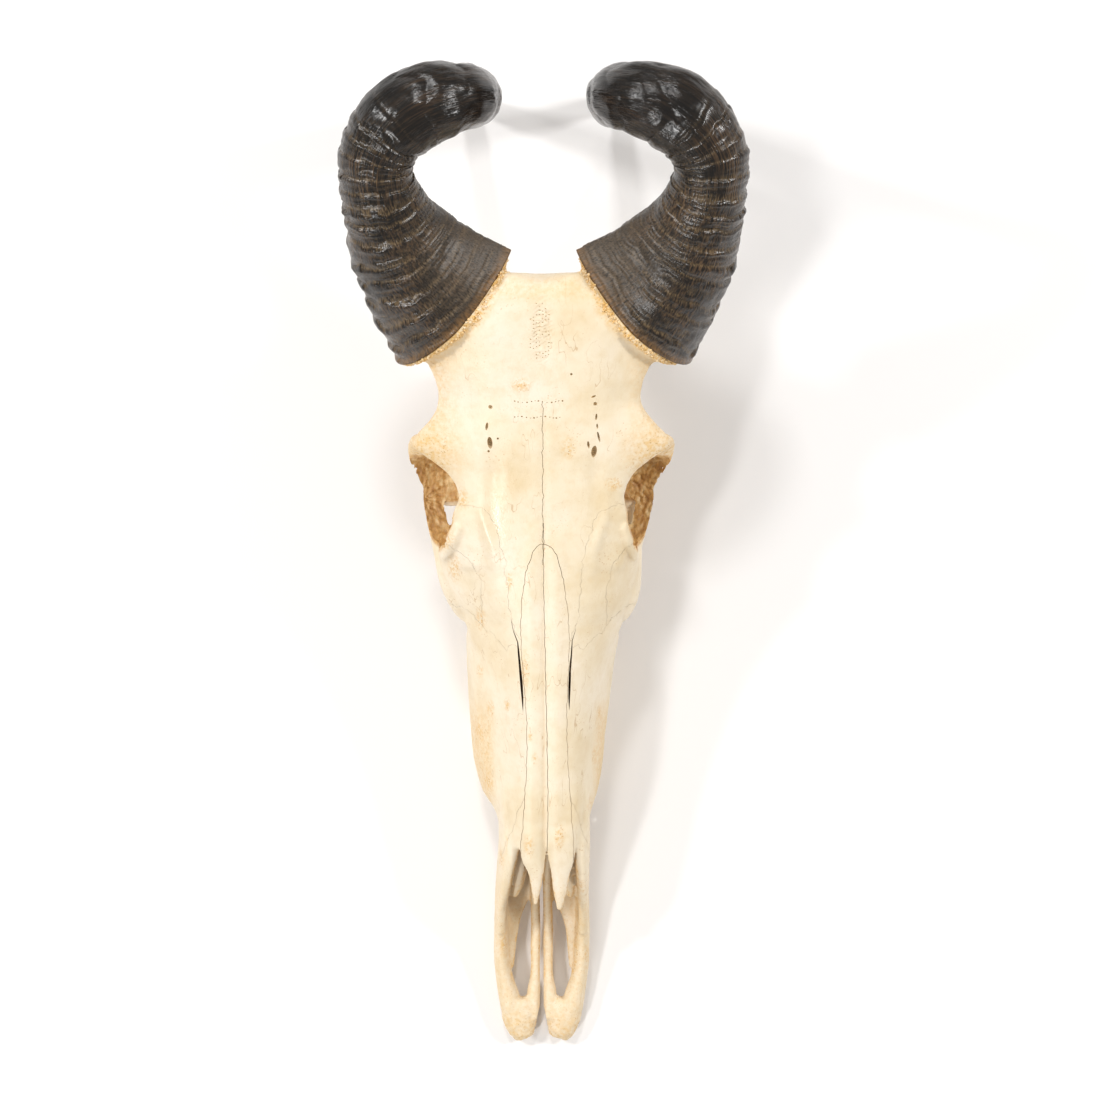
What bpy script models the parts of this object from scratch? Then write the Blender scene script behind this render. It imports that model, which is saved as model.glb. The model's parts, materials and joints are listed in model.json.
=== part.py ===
"""Skull of a hartebeest, without its lower jaw, lying on the tips of its horns and its premaxillae.

The frame: X across the skull (+X is the side of the right hand in a view of the face), Y from the
nose to the horns, Z up out of the face, the floor at Z = 0. Sizes below are in millimetres.
A place along the skull is given as its distance behind the nose tip, called back.
"""

import math

import bmesh
import bpy
import numpy as np
from mathutils import Matrix, Vector

MM = 0.001

# Driving dimensions
NOSE_TO_FRAME = 292.2         # the nose tip lies this far in front of the frame's origin
HORN_BASE_HALF_WIDTH = 47.3
HORN_BASE_HALF_DEPTH = 30.0
HORN_EGG = 0.3                # how much thinner the base is toward the middle of the skull
HORN_SLANT = 0.17             # how far the rim leans along the horn, for each millimetre across
HORN_POINT = 0.5              # how sharply the rim comes to a corner there
SOCKET_CENTRE = (63, 331, 107)
SOCKET_RADII = (31, 27.0, 24)
SOCKET_TURN = (0, -19, 12)    # about X, Y and Z, in degrees
PIT_CENTRE = (57, 311, 122)   # a small pit in the front rim of the socket
PIT_RADII = (6, 7, 18)
FULLER_CHEEK = 4.0            # how much further the left cheek stands out
NARROWER_EYE = ((258, 0), (275, 3.5), (290, 6), (304, 8), (322, 7), (346, 6), (362, 3), (380, 0))
TOOTH_ROW_FRONT = 150.0       # back of the nose tip
TOOTH_ROOT = 26.0             # how high a crown reaches into its socket
PREMOLARS = 3
MOLAR_WAIST = 0.16            # how much narrower a molar is between its lobes
GAP = 0.3                     # left between two bones that meet

MASS_VOXEL = 2.0
BONE_VOXEL = 1.5
BONE_TRIANGLES = 4800
RING_POINTS = 48
RIDGES = 11                   # growth ridges on the lower part of each horn
RIDGE_HEIGHT = 0.7

BONE = ("bone", (0.80, 0.69, 0.50, 1.0), 0.45)
KERATIN = ("horn_keratin", (0.045, 0.036, 0.028, 1.0), 0.35)

# Cross-sections of the muzzle. Each row runs from the crown of the nasals, round the right side,
# to the middle of the palate: back, then (x, z) of the crown, the nasal edge, the shoulder, the
# wall, the cheek above the teeth, the outer gum, the inner gum and the vault of the palate.
MUZZLE = (
    (125, (0, 74.8), (16.5, 72.8), (21.2, 64.5), (25.7, 47), (27, 27.5), (23.5, 13.5), (12.5, 12.5),
     (0, 13.5)),
    (130, (0, 76.5), (16.5, 74.5), (21.5, 66), (26, 48), (27, 28), (23.5, 14), (13, 13), (0, 14)),
    (145, (0, 82), (16, 80), (22, 71), (27, 52), (28, 33), (26, 17), (17, 15), (0, 18)),
    (154, (0, 84.5), (15.2, 82.5), (22.5, 73), (29, 54), (32, 34), (31, 18), (20, 16), (0, 20)),
    (176, (0, 91), (13.4, 89), (24, 78), (33, 58), (37.5, 36), (36, 18), (21, 16.5), (0, 25)),
    (206, (0, 99.5), (13.2, 97.5), (27, 86), (36, 64), (41, 37), (38.5, 18), (21, 17), (0, 28)),
    (236, (0, 108.5), (15.4, 106.5), (30, 95), (39, 71), (43.5, 38), (40, 19), (21, 18), (0, 30)),
    (256, (0, 115), (16.5, 113), (33, 101), (42, 77), (44.5, 42), (38, 22), (20, 20), (0, 33)),
    (272, (0, 120), (17.5, 118), (35, 106), (41, 80), (37, 50), (30, 38), (16, 36), (0, 42)),
)

# The cheek in front of the eye: back, crown, nasal edge, shoulder, crest of the cheek bone,
# underside of the crest, inner edge and middle.
CHEEK = (
    (244, (0, 111), (15.5, 109), (31, 97), (40, 76), (38, 58), (20, 50), (0, 48)),
    (258, (0, 115.5), (17, 113.5), (34, 101), (45, 80), (42, 64), (22, 54), (0, 50)),
    (264, (0, 117.5), (18, 115.5), (36, 103.5), (47.5, 79), (46, 66), (24, 57), (0, 52)),
    (271, (0, 120), (19, 118), (39, 106), (53.5, 80), (50, 68), (24, 59), (0, 54)),
    (286, (0, 125), (21, 123), (44, 111.5), (59.5, 87), (54, 72), (26, 64), (0, 56)),
    (300, (0, 130), (24, 128), (49, 117), (62, 93), (56, 78), (28, 68), (0, 58)),
    (312, (0, 134), (26, 132), (52, 121), (60, 97), (55, 76), (28, 68), (0, 58)),
    (321, (0, 137), (26, 135), (46, 124), (50, 102), (50, 76), (28, 70), (0, 60)),
)

# The shield of the forehead: back, crown, middle of the brow, edge, underside and keel.
FOREHEAD = (
    (292, (0, 127), (26, 124.5), (49, 113), (36, 102), (0, 94)),
    (310, (0, 133.5), (28, 131.5), (54, 121), (38, 110), (0, 98)),
    (322, (0, 138), (28, 136), (53.5, 128.5), (39, 117), (0, 102)),
    (333, (0, 142.5), (29, 140.5), (48.5, 133), (39, 121), (0, 106)),
    (345, (0, 147.2), (31, 145), (54, 136), (41, 125), (0, 108)),
    (354, (0, 151), (35, 148.5), (65, 137.5), (47, 126.5), (0, 110)),
    (362, (0, 154.7), (38, 151.5), (76, 138), (53, 127), (0, 112)),
    (368, (0, 157), (37, 154), (73, 140), (52, 128), (0, 113)),
    (377, (0, 160.8), (34, 158), (63, 145), (47, 132), (0, 115)),
    (386, (0, 164.5), (33, 162), (57.5, 149), (44, 135), (0, 118)),
    (398, (0, 170), (34, 168), (58.5, 154), (45, 139), (0, 122)),
    (411, (0, 176), (35, 174.5), (64, 157), (50, 142), (0, 128)),
    (428, (0, 183.5), (36, 183), (66, 163), (48, 150), (0, 136)),
    (442, (0, 188.5), (27, 189), (37, 181), (33, 164), (0, 146)),
    (450, (0, 188), (16, 190), (24, 186), (20, 172), (0, 158)),
    (456, (0, 182), (15, 188), (22, 186), (19, 174), (0, 164)),
)

# The nasal cavity, inside the muzzle: back, roof, shoulder, wall, floor edge and floor.
CAVITY = (
    (84, (0, 92), (18, 90), (20, 46), (16, 19), (0, 17)),
    (104, (0, 62), (15, 60), (20, 42), (16, 20), (0, 18)),
    (126, (0, 70), (16, 67), (20.5, 46), (16, 21), (0, 20)),
    (160, (0, 81), (16, 78), (21, 54), (15, 27), (0, 27)),
    (200, (0, 92), (16, 89), (22, 62), (15, 33), (0, 33)),
    (240, (0, 104), (17, 101), (23, 74), (15, 42), (0, 40)),
    (275, (0, 116), (17, 113), (20, 88), (14, 60), (0, 58)),
    (300, (0, 124), (14, 122), (14, 104), (10, 88), (0, 86)),
    (314, (0, 126), (9, 124), (9, 112), (7, 100), (0, 98)),
)

# The right horn's middle line (x, back, z) with the half width and half depth of its section.
HORN_LINE = (
    ((51.5, 441, 158), HORN_BASE_HALF_WIDTH, HORN_BASE_HALF_DEPTH),
    ((65.5, 455.5, 171), 39.0, 29.0),
    ((78.5, 472.5, 186), 31.0, 26.0),
    ((86, 488, 201), 23.8, 23.0),
    ((90.5, 503, 213), 20.5, 20.5),
    ((89.5, 518, 222), 20.5, 20.0),
    ((80, 531, 228), 22.0, 20.5),
    ((67, 540, 230), 22.5, 20.5),
    ((54, 544.5, 228), 20.5, 19.0),
    ((44.5, 547.5, 220), 18.0, 17.5),
    ((40.3, 550, 204), 17.0, 16.5),
    ((39.6, 553, 180), 15.5, 15.5),
    ((40, 558.5, 142), 13.0, 13.0),
    ((42, 565.5, 96), 10.5, 10.5),
    ((44, 573, 46), 8.0, 8.0),
    ((45.3, 579, 10), 5.5, 5.5),
    ((45.6, 580.5, 0), 3.5, 3.5),
)
HORN_RIM_DIRECTION = (0.700, -0.589, -0.406)
RIDGED_KNOTS = 6.0            # the ridges run from the base to this knot of the line

# Cheek teeth, front to back: length along the row, width across it, outer face at x.
TEETH = (
    (9.5, 9.0, 30.0),
    (12.5, 12.0, 33.0),
    (13.0, 14.5, 36.0),
    (18.0, 16.5, 38.5),
    (20.5, 17.5, 40.0),
    (20.5, 16.5, 40.0),
)

# The free end of each nasal, as a bar: x, back, z, half width and half height.
NASAL_TIPS = {
    -1: ((8, 150, 80.5, 7.8, 3.6), (8.3, 134, 75.5, 8.3, 3.5), (7.9, 121, 71.3, 7.5, 3.3),
         (5.9, 111, 67.8, 5.0, 3), (5.5, 101, 64, 3.1, 2.6), (5.0, 90.5, 60.5, 1.3, 1.6)),
    1: ((8, 150, 80.5, 7.8, 3.6), (8.3, 134, 75.5, 8.3, 3.5), (8.9, 121, 71.3, 8.2, 3.3),
        (8.8, 111, 67.8, 6.1, 3), (8.9, 100, 63.8, 4.5, 2.8), (9.6, 87.5, 59.8, 1.6, 1.6)),
}

# The nasals' outer edge from their tips to the forehead, as half width at a place behind the nose.
NASAL_EDGE = ((80, 18.5), (118, 18.0), (134, 16.7), (160, 14.6), (180, 13.4), (207, 13.1),
              (235, 14.8), (251, 15.7), (262, 15.2), (276, 13.8), (284, 12.1), (295, 10.2), (302, 7.0),
              (305.5, 4.0), (307, 0.0))


def clear_scene():
    for obj in list(bpy.data.objects):
        bpy.data.objects.remove(obj, do_unlink=True)


def collection(name):
    made = bpy.data.collections.new(name)
    bpy.context.scene.collection.children.link(made)
    return made


def place(x, back, z):
    """A point of the skull in the frame, in metres."""
    return (x * MM, (back - NOSE_TO_FRAME) * MM, z * MM)


def smooth_between(knots, at):
    """Value at a place on a smooth curve through (place, value) knots; a value may be an array."""
    places = [k[0] for k in knots]
    values = [np.asarray(k[1], float) for k in knots]
    at = min(max(at, places[0]), places[-1])
    i = min(max(np.searchsorted(places, at) - 1, 0), len(places) - 2)
    span = places[i + 1] - places[i]
    t = (at - places[i]) / span

    def slope(j):
        a, b = max(j - 1, 0), min(j + 1, len(places) - 1)
        return (values[b] - values[a]) / (places[b] - places[a])

    return (
        (2 * t**3 - 3 * t**2 + 1) * values[i]
        + (t**3 - 2 * t**2 + t) * span * slope(i)
        + (3 * t**2 - 2 * t**3) * values[i + 1]
        + (t**3 - t**2) * span * slope(i + 1)
    )


def closed_curve(points, count):
    """count points on a smooth closed curve through the given points."""
    points = np.asarray(points, float)
    n = len(points)
    found = []
    for step in np.arange(count) * n / count:
        i = int(step)
        t = step - i
        a, b, c, d = (points[(i + j) % n] for j in (-1, 0, 1, 2))
        found.append(
            0.5 * (2 * b + (c - a) * t + (2 * a - 5 * b + 4 * c - d) * t**2 + (3 * b - a - 3 * c + d) * t**3)
        )
    return np.array(found)


def mesh_object(name, points, faces, into):
    mesh = bpy.data.meshes.new(name)
    mesh.from_pydata([tuple(p) for p in points], [], faces)
    mesh.update()
    obj = bpy.data.objects.new(name, mesh)
    into.objects.link(obj)
    return obj


def face_out(obj):
    bm = bmesh.new()
    bm.from_mesh(obj.data)
    bmesh.ops.recalc_face_normals(bm, faces=bm.faces)
    bm.to_mesh(obj.data)
    bm.free()


def loft(name, rings, into):
    """A closed solid through rings that have the same number of points, with a point at each end."""
    count = len(rings[0])
    points = [tuple(p) for ring in rings for p in ring]
    faces = []
    for r in range(len(rings) - 1):
        for i in range(count):
            j = (i + 1) % count
            a, b = r * count, (r + 1) * count
            faces.append((a + i, a + j, b + j, b + i))
    for ring, first, turn in ((rings[0], 0, -1), (rings[-1], (len(rings) - 1) * count, 1)):
        hub = len(points)
        points.append(tuple(np.mean(np.asarray(ring), axis=0)))
        for i in range(count):
            faces.append((first + i, first + (i + 1) % count, hub)[::turn])
    obj = mesh_object(name, points, faces, into)
    face_out(obj)
    return obj


def section_loft(name, table, step, into, count=RING_POINTS):
    """A solid from half sections, mirrored across the middle plane and set along the skull."""
    knots = [(row[0], np.array(row[1:], float)) for row in table]
    first, last = table[0][0], table[-1][0]
    rings = []
    for back in np.linspace(first, last, int((last - first) / step) + 1):
        half = smooth_between(knots, back)
        whole = np.vstack([half, half[-2:0:-1] * (-1, 1)])
        rings.append([place(x, back, z) for x, z in closed_curve(whole, count)])
    return loft(name, rings, into)


def bar(name, line, side, into, steps=30, count=16, up=(0, 0, 1)):
    """A bone bar along a smooth line of (x, back, z, half width, half height) knots."""
    knots = [(i, np.array(k, float)) for i, k in enumerate(line)]
    samples = [smooth_between(knots, t) for t in np.linspace(0, len(line) - 1, steps)]
    centres = [Vector(place(side * k[0], k[1], k[2])) for k in samples]
    rings = []
    for i, k in enumerate(samples):
        ahead = (centres[min(i + 1, steps - 1)] - centres[max(i - 1, 0)]).normalized()
        across = ahead.cross(Vector(up)).normalized()
        rise = across.cross(ahead).normalized()
        ring = []
        for j in range(count):
            angle = 2 * math.pi * j / count
            offset = across * (k[3] * math.cos(angle)) + rise * (k[4] * math.sin(angle))
            ring.append(centres[i] + offset * MM)
        rings.append(ring)
    return loft(name, rings, into)


def ellipsoid(name, centre, radii, into, turn=(0, 0, 0)):
    """An ellipsoid; turn is its rotation about X, Y and Z in degrees."""
    mesh = bpy.data.meshes.new(name)
    bm = bmesh.new()
    bmesh.ops.create_uvsphere(bm, u_segments=32, v_segments=20, radius=1)
    bm.to_mesh(mesh)
    bm.free()
    obj = bpy.data.objects.new(name, mesh)
    into.objects.link(obj)
    rotation = Matrix.Rotation(math.radians(turn[2]), 4, "Z")
    rotation = rotation @ Matrix.Rotation(math.radians(turn[1]), 4, "Y")
    rotation = rotation @ Matrix.Rotation(math.radians(turn[0]), 4, "X")
    scale = Matrix.Diagonal((radii[0] * MM, radii[1] * MM, radii[2] * MM, 1))
    mesh.transform(Matrix.Translation(place(*centre)) @ rotation @ scale)
    return obj


def baked(obj, name, into):
    """The object as its modifiers leave it, as a plain mesh object; the old one is removed."""
    graph = bpy.context.evaluated_depsgraph_get()
    mesh = bpy.data.meshes.new_from_object(obj.evaluated_get(graph))
    made = bpy.data.objects.new(name, mesh)
    made.matrix_world = obj.matrix_world
    into.objects.link(made)
    bpy.data.objects.remove(obj, do_unlink=True)
    made.name = name
    return made


def joined(name, pieces, into):
    """One mesh object that holds all the pieces' faces."""
    bm = bmesh.new()
    for piece in pieces:
        bm.from_mesh(piece.data)
    mesh = bpy.data.meshes.new(name)
    bm.to_mesh(mesh)
    bm.free()
    for piece in pieces:
        bpy.data.objects.remove(piece, do_unlink=True)
    made = bpy.data.objects.new(name, mesh)
    into.objects.link(made)
    return made


def fused(name, pieces, voxel, rounding, into):
    """The pieces grown into one skin on a grid of voxels, then rounded where they meet."""
    obj = joined(name, pieces, into)
    remesh = obj.modifiers.new("fuse", "REMESH")
    remesh.mode = "VOXEL"
    remesh.voxel_size = voxel * MM
    remesh.use_smooth_shade = True
    smooth = obj.modifiers.new("round", "SMOOTH")
    smooth.factor = 0.5
    smooth.iterations = rounding
    return baked(obj, name, into)


def boolean(obj, tool, operation, into, solver="EXACT"):
    modifier = obj.modifiers.new(operation.lower(), "BOOLEAN")
    modifier.operation = operation
    modifier.solver = solver
    modifier.object = tool
    return baked(obj, obj.name, into)


def loose_parts(obj, into):
    """The separate bodies of a mesh, as new objects; the old one is removed."""
    bm = bmesh.new()
    bm.from_mesh(obj.data)
    unseen = set(bm.verts)
    parts = []
    while unseen:
        body, edge = set(), [next(iter(unseen))]
        while edge:
            vert = edge.pop()
            if vert in body:
                continue
            body.add(vert)
            edge.extend(e.other_vert(vert) for e in vert.link_edges)
        unseen -= body
        index = {v: i for i, v in enumerate(sorted(body, key=lambda v: v.index))}
        points = [v.co.copy() for v in index]
        faces = [tuple(index[v] for v in f.verts) for f in bm.faces if f.verts[0] in index]
        parts.append((points, faces))
    bm.free()
    bpy.data.objects.remove(obj, do_unlink=True)
    parts.sort(key=lambda part: -len(part[0]))
    return [mesh_object("part", p, f, into) for p, f in parts if len(p) > 40]


def finish(obj, material):
    """Give a node its own material: one colour, no metal."""
    kind, colour, roughness = material
    made = bpy.data.materials.new(obj.name + "_" + kind)
    made.use_nodes = True
    shader = made.node_tree.nodes["Principled BSDF"]
    shader.inputs["Base Color"].default_value = colour
    shader.inputs["Roughness"].default_value = roughness
    shader.inputs["Metallic"].default_value = 0.0
    obj.data.materials.clear()
    obj.data.materials.append(made)


def skull_masses(into):
    """The solid masses: muzzle, cheeks, forehead, braincase, occiput and the skull's base."""
    masses = [
        section_loft("muzzle", MUZZLE, 5, into),
        section_loft("cheeks", CHEEK, 4, into),
        section_loft("forehead", FOREHEAD, 4, into),
        ellipsoid("between_sockets", (0, 334, 92), (24, 60, 40), into),
        ellipsoid("braincase", (0, 392, 110), (42, 44, 48), into),
        ellipsoid("pedicle", (0, 420, 145), (52, 32, 28), into, turn=(-16, 0, 0)),
        ellipsoid("occiput", (0, 410, 84), (42, 19, 40), into, turn=(-8, 0, 0)),
        bar("skull_base", ((0, 290, 66, 14, 10), (0, 335, 57, 13, 11), (0, 378, 52, 19, 15),
                           (0, 410, 48, 20, 12)), 1, into),
        bar("nuchal_crest", ((-46, 414, 92, 5, 6), (-38, 428, 116, 5, 6), (-22, 438, 132, 5, 6),
                             (0, 441, 137, 5, 6), (22, 438, 132, 5, 6), (38, 428, 116, 5, 6),
                             (46, 414, 92, 5, 6)), 1, into),
    ]
    for side in (-1, 1):
        masses += [
            horn_core(side, into),
            ellipsoid("condyle", (side * 15, 409, 45), (10, 12, 15), into, turn=(-15, 0, 0)),
            ellipsoid("bulla", (side * 27, 388, 43), (9, 14, 12), into),
            ellipsoid("jaw_joint", (side * 45, 386, 78), (14, 12, 7), into),
            ellipsoid("mastoid", (side * 39, 405, 72), (11, 12, 20), into),
            bar("jugular_process", ((33, 401, 66, 8, 8), (34, 406, 40, 5.5, 8),
                                    (35, 408, 12, 3, 5)), side, into, up=(0, 1, 0)),
            bar("pterygoid", ((14, 262, 44, 3, 13), (15, 292, 48, 3, 17), (14, 322, 50, 3, 15),
                              (16, 350, 54, 3, 9)), side, into),
        ]
    return masses


def hollows(into):
    """What is hollow in the masses: nasal cavity, throat, sockets, fossae, foramen magnum."""
    cutters = [
        section_loft("nasal_cavity", CAVITY, 6, into),
        bar("throat", ((0, 244, 54, 11, 13), (0, 270, 53, 11, 15), (0, 296, 44, 11, 17),
                       (0, 318, 24, 11, 18)), 1, into),
        bar("foramen_magnum", ((0, 440, 66, 13, 13), (0, 420, 66, 12, 12), (0, 396, 72, 11, 11),
                               (0, 382, 80, 5, 5)), 1, into),
    ]
    for side in (-1, 1):
        cutters.append(ellipsoid("temporal_fossa", (side * 60, 374, 106), (19, 27, 25), into))
    return cutters + sockets(into)


def sockets(into):
    """The space of each eye, and the pit in front of it."""
    x, back, z = SOCKET_CENTRE
    turn_x, turn_y, turn_z = SOCKET_TURN
    pit_x, pit_back, pit_z = PIT_CENTRE
    spaces = []
    for side in (-1, 1):
        turn = (turn_x, side * turn_y, side * turn_z)
        spaces.append(ellipsoid("socket", (side * x, back, z), SOCKET_RADII, into, turn))
        spaces.append(ellipsoid("pit", (side * pit_x, pit_back, pit_z), PIT_RADII, into))
    return spaces


def fine_bones(into):
    """The bars and plates that join the masses: premaxillae, nasal tips, arches, socket rims."""
    bones = []
    for side in (-1, 1):
        bones += [
            bar("premaxilla_body", ((10.3, 1.5, 5.5, 6, 4.5), (12.0, 7, 6.5, 9.0, 6.5),
                                    (13.3, 14, 8, 10.8, 7), (14.6, 20, 9, 10.8, 6.8),
                                    (16.5, 25, 9.2, 9, 6)), side, into),
            bar("premaxilla_outer", ((19, 20, 9, 6.5, 7), (20.2, 28, 9.5, 6.5, 7.2),
                                     (22.6, 38, 10.5, 5.4, 7.4), (24.4, 50, 12.5, 4.8, 8.4),
                                     (24.9, 66, 16.5, 4.5, 10), (24.8, 84, 22, 4.1, 14),
                                     (24.3, 104, 31, 3.8, 20), (24, 124, 41, 3.4, 24),
                                     (23, 146, 56, 3.2, 16), (22, 165, 68, 2.5, 9)),
                side, into, steps=44),
            bar("premaxilla_floor", ((22, 46, 9, 5, 4), (19.5, 74, 10.5, 6, 4),
                                     (15, 92, 12.5, 8.5, 4), (12, 108, 14, 10.5, 4),
                                     (10, 130, 16, 10, 4)), side, into),
            bar("palatine_process", ((4.2, 14, 8, 2.9, 5.5), (5.0, 29, 9, 4.1, 4.8),
                                     (4.0, 42, 10, 3.0, 4.5),
                                     (3.9, 65, 12.5, 3.0, 4.2), (3.8, 92, 16, 2.8, 4.2),
                                     (3.7, 120, 20, 2.7, 4.2)), side, into),
            bar("nasal_tip", NASAL_TIPS[side], side, into),
            bar("socket_front", ((48, 318, 126, 4.5, 4), (52.5, 309, 121, 4, 4.5),
                                 (56, 303.5, 112, 3.5, 5), (58, 301.5, 101, 3.5, 6),
                                 (58.5, 304, 88, 3.5, 7)), side, into, up=(0, 1, 0.3)),
            bar("cheek_arch", ((46.5, 264, 72, 4, 7), (52.5, 273, 78, 4.5, 8), (57.5, 286, 83, 4.5, 8.5),
                               (61, 304, 86, 4.5, 8), (63, 322, 86, 6.3, 7.5),
                               (65, 336, 86, 6.3, 7), (63.5, 354, 86, 4, 7),
                               (56, 368, 85, 3.6, 6.5), (51.5, 382, 84, 4, 6.5),
                               (44, 394, 84, 6, 7)), side, into, steps=44),
            bar("behind_socket", ((61, 365, 136, 6, 13), (65, 364.5, 124, 5.5, 12.5),
                                  (67, 359, 110, 5.5, 12), (65, 350, 97, 5.5, 11.5),
                                  (59, 341, 85, 5.5, 11), (53, 334, 76, 5, 10),
                                  (51, 325 - 8 * side, 72, 4, 8)), side, into, steps=40,
                up=(1, 0, 0)),
        ]
    return bones


def horn_sections(side, grow, stations, count, ridged=True):
    """Rings round the horn's middle line, swelled at each growth ridge of its lower part."""
    knots = [(i, np.array((*c, w, d), float)) for i, (c, w, d) in enumerate(HORN_LINE)]
    last = len(knots) - 1
    samples = [(t, smooth_between(knots, t)) for t in stations]
    centres = [Vector(k[:3]) for _, k in samples]
    wide = Vector(HORN_RIM_DIRECTION)
    rings = []
    for i, (t, k) in enumerate(samples):
        ahead = (centres[min(i + 1, len(samples) - 1)] - centres[max(i - 1, 0)]).normalized()
        if t == last:
            ahead = Vector((0, 0, -1))
        wide = (wide - ahead * wide.dot(ahead)).normalized()
        deep = ahead.cross(wide)
        swell = grow
        if ridged and t < RIDGED_KNOTS:
            fade = min(1, (RIDGED_KNOTS - t) / 1.5)
            swell += RIDGE_HEIGHT * fade * math.sin(2 * math.pi * RIDGES * t / RIDGED_KNOTS)
        ring = []
        for j in range(count):
            angle = 2 * math.pi * j / count
            near_rim = max(0, 1 - t / 3)
            inward = near_rim * max(0, -math.cos(angle))
            rise = math.copysign(abs(math.sin(angle)) ** (1 + HORN_POINT * inward), math.sin(angle))
            p = centres[i] + wide * ((k[3] + swell) * math.cos(angle))
            p = p + deep * ((k[4] + swell) * rise * (1 - HORN_EGG * inward))
            p = p - ahead * (HORN_SLANT * near_rim * (k[3] + swell) * math.cos(angle))
            ring.append(place(side * p.x, p.y, max(p.z, 0)))
        rings.append(ring)
    return rings


def horn_ahead():
    """The way the horn leaves the bone."""
    return (Vector(HORN_LINE[1][0]) - Vector(HORN_LINE[0][0])).normalized()


def shifted(rings, side, distance):
    """Rings moved along the horn's first direction, in millimetres."""
    way = horn_ahead()
    move = Vector((side * way.x, way.y, way.z)) * (distance * MM)
    return [[Vector(p) + move for p in ring] for ring in rings]


def horn_core(side, into):
    """The stump of bone that carries the horn, from inside the forehead to the horn's base."""
    rings = []
    for depth, thinner in ((30, 20), (18, 10), (8, 5), (-6, 3)):
        first = horn_sections(side, -thinner, [0.0, 0.05], 32, False)[0]
        rings += shifted([first], side, -depth)
    return loft("horn_core", rings, into)


def horn_clearance(side, into):
    """The horn's own space with a gap round it, to trim the bone below it."""
    rings = horn_sections(side, GAP + 4, [0.0, 0.4, 1.0, 2.0, 3.0], 32, False)
    return loft("horn_clearance", shifted(rings, side, -GAP), into)


def horn(side, into):
    """A keratin sheath: an oval base on the forehead that narrows to a tip on the floor."""
    low = list(np.linspace(0, RIDGED_KNOTS, 3 * RIDGES + 1))
    high = list(np.linspace(RIDGED_KNOTS, len(HORN_LINE) - 1, 22))[1:]
    rings = horn_sections(side, 0, low + high, 16)
    return loft("horn_right" if side > 0 else "horn_left", rings, into)


def lean(x, back, z):
    """How far a place lies to the right of where an even skull would have it.

    The nasals lean to the right and the premaxillae to the left, the left cheek is fuller and
    the right side is narrower at the eye.
    """
    along = np.interp(back, (0, 60, 130), (-1.6, -1.6, 0))
    nose = np.interp(back, (70, 100, 150, 220, 280), (0, 1, 1, 0.35, 0)) * (z - 40) / 18
    cheek = np.interp(back, (138, 156, 176, 236, 262), (0, 1, 1.15, 0.85, 0.3))
    cheek = cheek * np.interp(z, (60, 90), (1, 0))
    fuller = FULLER_CHEEK * cheek * np.interp(-x, (0, 30), (0, 1))
    narrower = np.interp(back, *zip(*NARROWER_EYE)) * np.interp(x, (36, 66), (0, 1))
    flatter = np.interp(back, (150, 190, 225, 250), (0, 2.6, 1.5, 0)) * np.interp(x, (20, 38), (0, 1))
    waist = np.interp(back, (366, 386, 406, 425), (0, 2.4, 2.4, 0))
    waist = waist * np.interp(np.abs(x), (25, 50), (0, 1))
    return along + nose - fuller - narrower - flatter - waist


def leaned(obj):
    for vertex in obj.data.vertices:
        x, back, z = vertex.co.x / MM, vertex.co.y / MM + NOSE_TO_FRAME, vertex.co.z / MM
        vertex.co.x += lean(x, back, z) * MM


def sheet(name, lines, thickness, into):
    """A thin closed wall over two lines of points that run side by side, to part two bones."""
    a, b = ([Vector(place(*p)) for p in line] for line in lines)
    n = len(a)
    points = []
    for sign in (-0.5, 0.5):
        for line, other in ((a, b), (b, a)):
            for i in range(n):
                along = line[min(i + 1, n - 1)] - line[max(i - 1, 0)]
                across = (b[i] - a[i]).normalized()
                normal = along.cross(across).normalized()
                points.append(line[i] + normal * (sign * thickness * MM))
    low_a, low_b, high_a, high_b = 0, n, 2 * n, 3 * n
    faces = []
    for i in range(n - 1):
        # Both skins split each field along the same diagonal, so a twisted wall keeps its gap.
        faces.append((low_a + i, low_a + i + 1, low_b + i + 1))
        faces.append((low_a + i, low_b + i + 1, low_b + i))
        faces.append((high_a + i, high_b + i, high_b + i + 1))
        faces.append((high_a + i, high_b + i + 1, high_a + i + 1))
        faces.append((low_a + i, high_a + i, high_a + i + 1, low_a + i + 1))
        faces.append((low_b + i, low_b + i + 1, high_b + i + 1, high_b + i))
    for i, turn in ((0, 1), (n - 1, -1)):
        faces.append((low_a + i, low_b + i, high_b + i, high_a + i)[::turn])
    obj = mesh_object(name, points, faces, into)
    face_out(obj)
    leaned(obj)
    return obj


def nasal_sheets(into):
    """The nasals' outer seams, as one wall round both, and the seam between them."""
    knots = [(b, (w,)) for b, w in NASAL_EDGE]
    outline = [(float(smooth_between(knots, b)[0]), b) for b in range(80, 300, 10)]
    outline += [(7, 302), (4, 305.5), (0, 307)]
    outline += [(-x, b) for x, b in outline[-2::-1]]
    rows = MUZZLE[:-1] + CHEEK[1:-1] + FOREHEAD[2:]
    crown = [(row[0], (row[1][1],)) for row in rows]

    def surface(back):
        return float(smooth_between(crown, back)[0])

    top = [(x, b, surface(b) + 6) for x, b in outline]
    low = [(x * 0.62, b - 4, surface(b) - 26) for x, b in outline]
    middle = [(0, b, surface(max(b, 120)) - 26) for b in range(78, 322, 8)]
    middle_top = [(0, b, surface(max(b, 120)) + 8) for b in range(78, 322, 8)]
    return [
        sheet("nasal_seam", (top, low), GAP, into),
        sheet("nasal_middle", (middle, middle_top), GAP, into),
    ]


def across(name, line, into):
    """A wall right across the skull over a line of (back, z) points."""
    return sheet(name, [[(x, b, z) for b, z in line] for x in (-90, 90)], GAP, into)


def both_sides(half):
    """A line that starts on the middle plane, carried on to the other side."""
    return [(-x, b) for x, b in half[:0:-1]] + half


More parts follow.
